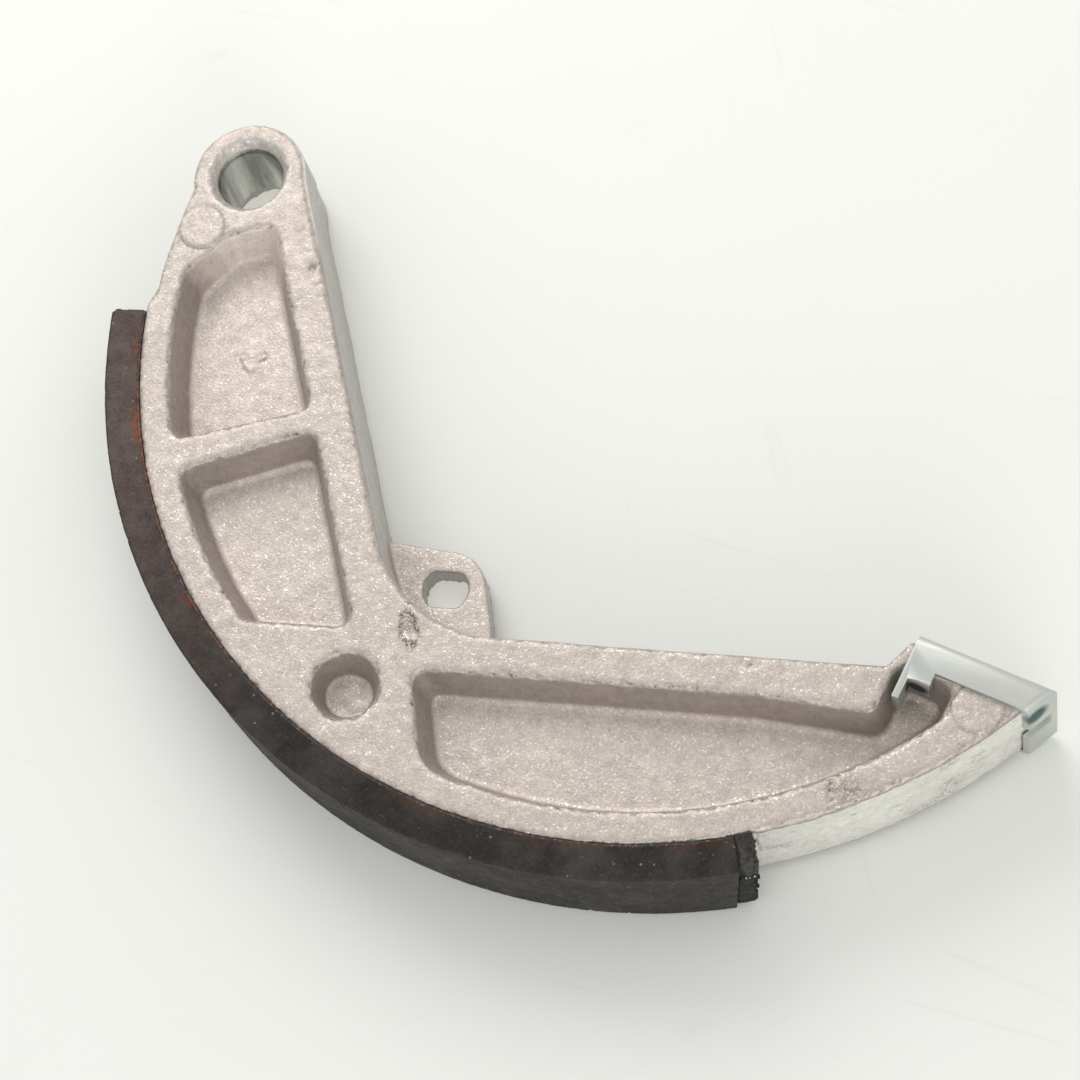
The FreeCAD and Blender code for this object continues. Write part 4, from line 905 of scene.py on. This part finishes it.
def cast_look(settings):
    """Warm, sandy skin, with painted reflection that makes the toe's outer wall cooler and
    brighter, and bare metal in the bore.
    """
    look, tree, shader, coords = new_look("sandy_cast_aluminium")
    grain = grain_of(tree, coords, 1 / settings.grain, 0.16)
    zone = cast_zones(tree, coords)
    mark = cast_marks(tree, coords, grain, zone)
    color = skin_color(tree, grain, zone, mark, settings)
    rough = spread(tree, grain["Tone"], 0.3, 0.7, 0.56, 0.44)
    for share, drop in ((mark.glints, 0.18), (zone.outer, 0.10), (zone.bore, 0.10)):
        rough = calc(tree, "SUBTRACT", rough, product(tree, share, drop))
    metal = 0.55
    for share, gain in ((mark.glints, 0.3), (zone.toe, 0.3), (zone.bore, 0.35)):
        metal = calc(tree, "ADD", metal, product(tree, share, gain), clamp=True)
    fill(tree, shader, {"Base Color": bore_color(tree, color, coords, zone, mark),
                        "Roughness": rough, "Metallic": metal})
    grainy = product(tree, rest(tree, product(tree, zone.bore, 0.85)),
                     rest(tree, product(tree, zone.outer, 0.45)))
    bump(tree, shader, product(tree, grain["Height"], grainy), 0.07)
    return look


# Rusty traces along the joint: middle and half width, in degrees about the axle, and the
# radii between which their ragged edge runs
TRACES = ((204.3, 1.4), (213.6, 3.0), (236.0, 1.6), (271.0, 3.5), (287.0, 5.0), (300.5, 3.8))
TRACE_REACH = (71.0, 72.1)

# Tones of the lining besides the settings' colours
FIBRE_TONE = (0.17, 0.13, 0.10)
# Pale mineral specks, partly painted glints
MINERAL_GLINT_TONE = (0.32, 0.28, 0.23)
LINING_DUST = (0.22, 0.20, 0.18)


def joint_traces(tree, coords, place, from_axle):
    """Ragged traces on the lining's sides, next to the joint."""
    ragged = spread(tree, noise(tree, coords, 0.8, 3.0), 0.36, 0.60)
    reach = spread(tree, ragged, 0.0, 1.0, *(radius * MM for radius in TRACE_REACH))
    joint = fade(tree, calc(tree, "SUBTRACT", reach, from_axle), 0.0, 0.9)
    turn = turn_about(tree, place)
    along = 0.0
    for middle, width in TRACES:
        off = calc(tree, "ABSOLUTE", calc(tree, "SUBTRACT", turn, np.radians(middle - 360)))
        near = spread(tree, off, np.radians(width), np.radians(width * 0.5))
        along = calc(tree, "MAXIMUM", near, along)
    return calc(tree, "MULTIPLY", product(tree, joint, along), ragged, clamp=True)


def lining_look(settings):
    """Dark pressed material with fibres, dust and rusty traces, and a painted sheen on its sides
    near the pivot; its outside is ground.
    """
    look, tree, shader, coords = new_look("pressed_friction_material")
    grain = grain_of(tree, coords, 2600.0, 0.006)
    place = parts_of(tree, coords)
    radius = radius_about(tree, coords, AXLE)
    # Painted sheen: side faces lighter near the pivot, darker towards the toe
    side = tint(tree, fade(tree, place[0], 2.0, 42.0), settings.side_sheen_color, settings.dark_color)
    color = tint(tree, fade(tree, radius, 74.55, 74.98), side, settings.worn_color)
    color = shaded(tree, color, spread(tree, grain["Tone"], 0.3, 0.7, 0.60, 1.45))
    fibres = noise(tree, scaled(tree, coords, (1.0, 1.0, 0.25)), 0.45, 2.0)
    color = tint(tree, product(tree, spread(tree, fibres, 0.68, 0.76), 0.55), color, FIBRE_TONE)
    # Pale mineral specks, partly painted glints
    color = tint(tree, product(tree, grain["Glint"], 0.6), color, MINERAL_GLINT_TONE)
    rust = tint(tree, fade(tree, place[0], 8.0, 30.0), settings.trace_color,
                settings.stain_color)
    color = tint(tree, joint_traces(tree, coords, place, radius), color, rust)
    fill(tree, shader, {"Base Color": dusted(tree, coords, color, 0.12, LINING_DUST),
                        "Roughness": spread(tree, grain["Tone"], 0.3, 0.7, 0.82, 0.66),
                        "Specular IOR Level": 0.28})
    bump(tree, shader, grain["Height"], 0.08)
    return look


# Directions between which the crack beside the lining wavers, in degrees about the axle; the crack
# is painted shade
CRACK = (-55.62, -55.28)


def adhesive_look(settings):
    """Charred, grainy adhesive: a grey upper lobe, and painted shade that makes it black below and
    in the crack.
    """
    look, tree, shader, coords = new_look("charred_adhesive")
    grain = grain_of(tree, coords, 2500.0, 0.01)
    place = parts_of(tree, coords)
    # Painted shade: black below the grey upper lobe
    color = tint(tree, fade(tree, place[2], 2.6, 3.4), settings.deep_shade_color, settings.color)
    color = shaded(tree, color, spread(tree, grain["Tone"], 0.35, 0.7, 0.6, 2.2))
    waver = spread(tree, noise(tree, coords, 2.2), 0.3, 0.7, *np.radians(CRACK))
    # Painted shade in the crack beside the lining
    crack = calc(tree, "LESS_THAN", turn_about(tree, place), waver)
    fill(tree, shader, {"Base Color": tint(tree, crack, color, settings.deep_shade_color),
                        "Roughness": spread(tree, grain["Tone"], 0.3, 0.7, 0.75, 0.5),
                        "Specular IOR Level": 0.3})
    bump(tree, shader, grain["Height"], 0.16)
    return look


def film_look(settings, rust):
    """Brown adhesive that shows in the joint, rusty and sandy in places."""
    look, tree, shader, coords = new_look("brown_joint_adhesive")
    patches = spread(tree, noise(tree, coords, 2.6, 4.0, 0.6), 0.44, 0.60)
    near_pivot = fade(tree, parts_of(tree, coords)[0], 40.0, 10.0, 0.3)
    color = tint(tree, product(tree, patches, near_pivot), settings.color, rust)
    sandy = spread(tree, noise(tree, coords, 0.5, 3.0), 0.55, 0.66)
    color = tint(tree, product(tree, sandy, 0.4), color, (0.30, 0.24, 0.20))
    fill(tree, shader, {"Base Color": color, "Roughness": 0.75})
    bump(tree, shader, noise(tree, coords, 0.3, 3.0), 0.05)
    return look


def sand_look():
    """Pale, slightly glossy grains."""
    look, tree, shader, coords = new_look("pale_sand")
    light = spread(tree, noise(tree, coords, 0.15), 0.35, 0.65)
    color = tint(tree, light, (0.62, 0.60, 0.55), (0.86, 0.85, 0.82))
    fill(tree, shader, {"Base Color": color, "Roughness": 0.4})
    bump(tree, shader, noise(tree, coords, 0.08), 0.02)
    return look


# Tones of the plating besides the settings' colour
COOL_ZINC = (0.57, 0.61, 0.60)
WARM_ZINC = (0.70, 0.67, 0.57)
CAP_DUST = (0.56, 0.56, 0.53)

# Dark and teal reflections and shade painted on the cap's lip and end tab: centre and half sizes
# in millimetres, and colour
PAINTED_REFLECTIONS_AND_SHADE = (((114.8, -31.4, 6.5), (2.1, 1.1, 2.1), (0.020, 0.027, 0.038)),
           ((130.0, -28.3, 5.4), (2.4, 2.2, 2.6), (0.05, 0.10, 0.11)),
           ((131.0, -28.0, 1.2), (1.2, 1.5, 0.9), (0.02, 0.02, 0.02)))


def zinc_look(settings):
    """Pale plating, drawn out along the sheet, with dust and spots of painted reflection and
    shade.
    """
    look, tree, shader, coords = new_look("pale_zinc_plating")
    drawn = scaled(tree, coords, (0.30, 1.5, 1.0))
    cool = spread(tree, noise(tree, drawn, 3.2), 0.60, 0.35)
    warm = spread(tree, noise(tree, coords, 3.0), 0.52, 0.72)
    color = tint(tree, cool, settings.color, COOL_ZINC)
    color = tint(tree, product(tree, warm, 0.35), color, WARM_ZINC)
    color = dusted(tree, coords, color, 0.18, CAP_DUST)
    # Painted dark and teal reflections and shade on the lip and end tab
    for centre, size, shade in PAINTED_REFLECTIONS_AND_SHADE:
        away = distance_from(tree, coords, centre, tuple(1 / (MM * value) for value in size))
        color = tint(tree, spread(tree, away, 1.0, 0.55), color, shade)
    fine = noise(tree, drawn, 0.9, 3.0)
    fill(tree, shader, {"Base Color": color, "Metallic": 1.0,
                        "Roughness": spread(tree, fine, 0.3, 0.7, 0.44, 0.58)})
    bump(tree, shader, fine, 0.01)
    return look


# The table top: tones of its smudges, scratches and the spots that glow as painted light
SMUDGE_TONE = (0.78, 0.80, 0.76)
SCRATCH_TONE = (0.62, 0.63, 0.60)
LIT_TONE = (1.0, 1.0, 0.93, 1)

# Three sets of scratches: direction in radians, distance in millimetres and strength
SCRATCHES = ((0.35, 30.0, 0.14), (1.15, 42.0, 0.18), (2.2, 36.0, 0.12))

# Table seen through the bore and the ear's hole, which glows as painted light: centre and reach in
# millimetres, brightness
LIT_SPOTS = ((PIVOT, 7.6, 0.46), ((50.0, -40.65), 4.2, 0.34))


def scratched(tree, coords, color, seed):
    """A colour with thin, broken scratches."""
    for turn, size, share in SCRATCHES:
        turned = put(tree, "VectorRotate", {"Vector": coords, "Angle": turn + seed},
                     rotation_type="Z_AXIS").outputs[0]
        field = noise(tree, scaled(tree, turned, (0.10, 2.2, 1.0)), size, 1.0)
        thin = spread(tree, calc(tree, "ABSOLUTE", calc(tree, "SUBTRACT", field, 0.5)), 0.006, 0.0)
        broken = spread(tree, noise(tree, coords, size * 0.6), 0.55, 0.68)
        color = tint(tree, product(tree, thin, broken, share), color, SCRATCH_TONE)
    return color


def floor_look(settings):
    """Pale painted table top; it glows as painted light for camera and glossy rays where it shows
    through the bore and the ear's hole.
    """
    look, tree, shader, coords = new_look("pale_table_paint")
    smudge = spread(tree, noise(tree, coords, 45.0, 4.0), 0.35, 0.7)
    color = tint(tree, product(tree, smudge, 0.22), settings.floor_color, SMUDGE_TONE)
    place = put(tree, "NewGeometry").outputs["Position"]
    glow = 0.0
    # Painted light: the table glows round the bore and the ear's hole
    for centre, reach, strength in LIT_SPOTS:
        away = radius_about(tree, place, centre)
        glow = calc(tree, "MAXIMUM", fade(tree, away, reach, reach - 0.8, 0.0, strength), glow)
    seen = put(tree, "LightPath").outputs
    eye = calc(tree, "MAXIMUM", seen["Is Camera Ray"], seen["Is Glossy Ray"])
    fill(tree, shader, {"Base Color": scratched(tree, coords, color, settings.seed),
                        "Roughness": 0.45, "Specular IOR Level": 0.25,
                        "Emission Strength": product(tree, glow, eye),
                        "Emission Color": LIT_TONE})
    return look


# The stage

# The table touches the casting near the boss and the lining, and the cap's lower flange
TABLE_SPOTS = ((-8.0, 0.0, -8.02), (40.0, -72.0, -8.02), (121.0, -29.0, -8.97))
TABLE_REACH = 2.0

SKY_COLOR = (0.99, 1.0, 0.975, 1)

# The lights look at one spot, given in millimetres. For each: width, colour and offset in metres
LIT_PLACE = (58.0, -32.0, 0.0)
KEY_LIGHT = (0.44, (1.0, 0.985, 0.96), (-0.31, 0.32, 0.38))
SIDE_LIGHT = (0.40, (1.0, 1.0, 1.0), (0.42, -0.42, 0.24))


def table_piece():
    """A wide plane through the three spots on which the shoe lies."""
    first, second, third = (Vector(spot) * MM for spot in TABLE_SPOTS)
    normal = (second - first).cross(third - first).normalized()
    bm = bmesh.new()
    bmesh.ops.create_grid(bm, x_segments=1, y_segments=1, size=TABLE_REACH)
    piece = drawn_piece("table_top", bm)
    piece.matrix_world = (Matrix.Translation(first)
                          @ normal.to_track_quat("Z", "Y").to_matrix().to_4x4())
    return piece


def add_sky(scene, strength):
    """Even light from all around."""
    world = bpy.data.worlds.new("soft_studio")
    scene.world = world
    world.use_nodes = True
    fill(world.node_tree, world.node_tree.nodes["Background"],
         {"Color": SKY_COLOR, "Strength": strength})


def add_lamp(scene, name, power, width, color, offset):
    """A round soft light that looks at the shoe."""
    lamp = bpy.data.lights.new(name, "AREA")
    lamp.shape = "DISK"
    lamp.size = width
    lamp.energy = power
    lamp.color = color
    light = bpy.data.objects.new(name, lamp)
    scene.collection.objects.link(light)
    target = Vector(LIT_PLACE) * MM
    light.location = target + Vector(offset)
    light.rotation_euler = (target - light.location).to_track_quat("-Z", "Y").to_euler()


def add_camera(scene):
    """The photograph's camera."""
    eye = bpy.data.cameras.new("camera")
    eye.lens = LENS
    eye.sensor_width = SENSOR
    eye.clip_start = CLIP_START
    camera = bpy.data.objects.new("camera", eye)
    scene.collection.objects.link(camera)
    camera.matrix_world = (Matrix.Translation(Vector(CAMERA_PLACE) * MM)
                           @ Matrix(CAMERA_TURN).to_4x4())
    scene.camera = camera
    scene.view_settings.view_transform = "Standard"


# Operators

def finish_piece(piece, look, slot, *nodes):
    """Gives a piece its material and its body, and hides the CAD nodes it stands for; slot is not
    used.
    """
    piece.data.materials.clear()
    piece.data.materials.append(look)
    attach(piece, "root")
    if nodes:
        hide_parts(*nodes)


class SHOE_OT_casting(Operator):
    """Make the casting's skin with its grain, parting ridge and flaws"""
    bl_idname = "shoe.casting"
    bl_label = "Casting"

    def execute(self, context):
        settings = context.scene.brake_shoe.casting
        finish_piece(casting_piece(settings), cast_look(settings), "cast_aluminium",
                     "shoe_casting")
        return {"FINISHED"}


class SHOE_OT_lining(Operator):
    """Make the friction lining"""
    bl_idname = "shoe.lining"
    bl_label = "Lining"

    def execute(self, context):
        settings = context.scene.brake_shoe.lining
        finish_piece(lining_piece(settings), lining_look(settings), "friction_material",
                     "friction_lining")
        return {"FINISHED"}


class SHOE_OT_adhesive(Operator):
    """Make the squeezed-out bead and the film under the lining"""
    bl_idname = "shoe.adhesive"
    bl_label = "Adhesive"

    def execute(self, context):
        settings = context.scene.brake_shoe.adhesive
        finish_piece(bead_piece(settings), adhesive_look(settings), "adhesive", "bond_film")
        rust = context.scene.brake_shoe.lining.trace_color
        finish_piece(film_piece(), film_look(settings, rust), "adhesive")
        finish_piece(crumb_piece(), sand_look(), "adhesive")
        return {"FINISHED"}


class SHOE_OT_cap(Operator):
    """Make the folded steel cap"""
    bl_idname = "shoe.cap"
    bl_label = "Cap"

    def execute(self, context):
        settings = context.scene.brake_shoe.cap
        finish_piece(cap_piece(settings), zinc_look(settings), "zinc_plated_steel",
                     "cam_end_cap")
        return {"FINISHED"}


class SHOE_OT_stage(Operator):
    """Make the table top, the lights and the camera"""
    bl_idname = "shoe.stage"
    bl_label = "Stage"

    def execute(self, context):
        scene = context.scene
        settings = scene.brake_shoe.stage
        table = table_piece()
        table.data.materials.append(floor_look(settings))
        add_sky(scene, settings.fill)
        add_lamp(scene, "key", settings.key_power, *KEY_LIGHT)
        add_lamp(scene, "side", settings.side_power, *SIDE_LIGHT)
        add_camera(scene)
        return {"FINISHED"}


class SHOE_PT_panel(Panel):
    """Lists the pieces of the brake shoe"""
    bl_idname = "SHOE_PT_panel"
    bl_label = "Brake Shoe"
    bl_space_type = "VIEW_3D"
    bl_region_type = "UI"
    bl_category = "Brake Shoe"

    def draw(self, context):
        settings = context.scene.brake_shoe
        for group, operator in ((settings.casting, SHOE_OT_casting),
                                (settings.lining, SHOE_OT_lining),
                                (settings.adhesive, SHOE_OT_adhesive),
                                (settings.cap, SHOE_OT_cap), (settings.stage, SHOE_OT_stage)):
            box = self.layout.box()
            for name in group.bl_rna.properties.keys():
                if name not in ("rna_type", "name"):
                    box.prop(group, name)
            box.operator(operator.bl_idname)


CLASSES = (CastingSettings, LiningSettings, AdhesiveSettings, CapSettings, StageSettings,
           ShoeSettings, SHOE_OT_casting, SHOE_OT_lining, SHOE_OT_adhesive, SHOE_OT_cap,
           SHOE_OT_stage, SHOE_PT_panel)


def register():
    for item in CLASSES:
        bpy.utils.register_class(item)
    bpy.types.Scene.brake_shoe = PointerProperty(type=ShoeSettings)


def unregister():
    del bpy.types.Scene.brake_shoe
    for item in reversed(CLASSES):
        bpy.utils.unregister_class(item)


def main():
    register()
    bpy.ops.shoe.casting()
    bpy.ops.shoe.lining()
    bpy.ops.shoe.adhesive()
    bpy.ops.shoe.cap()
    bpy.ops.shoe.stage()


if __name__ == "__main__":
    main()
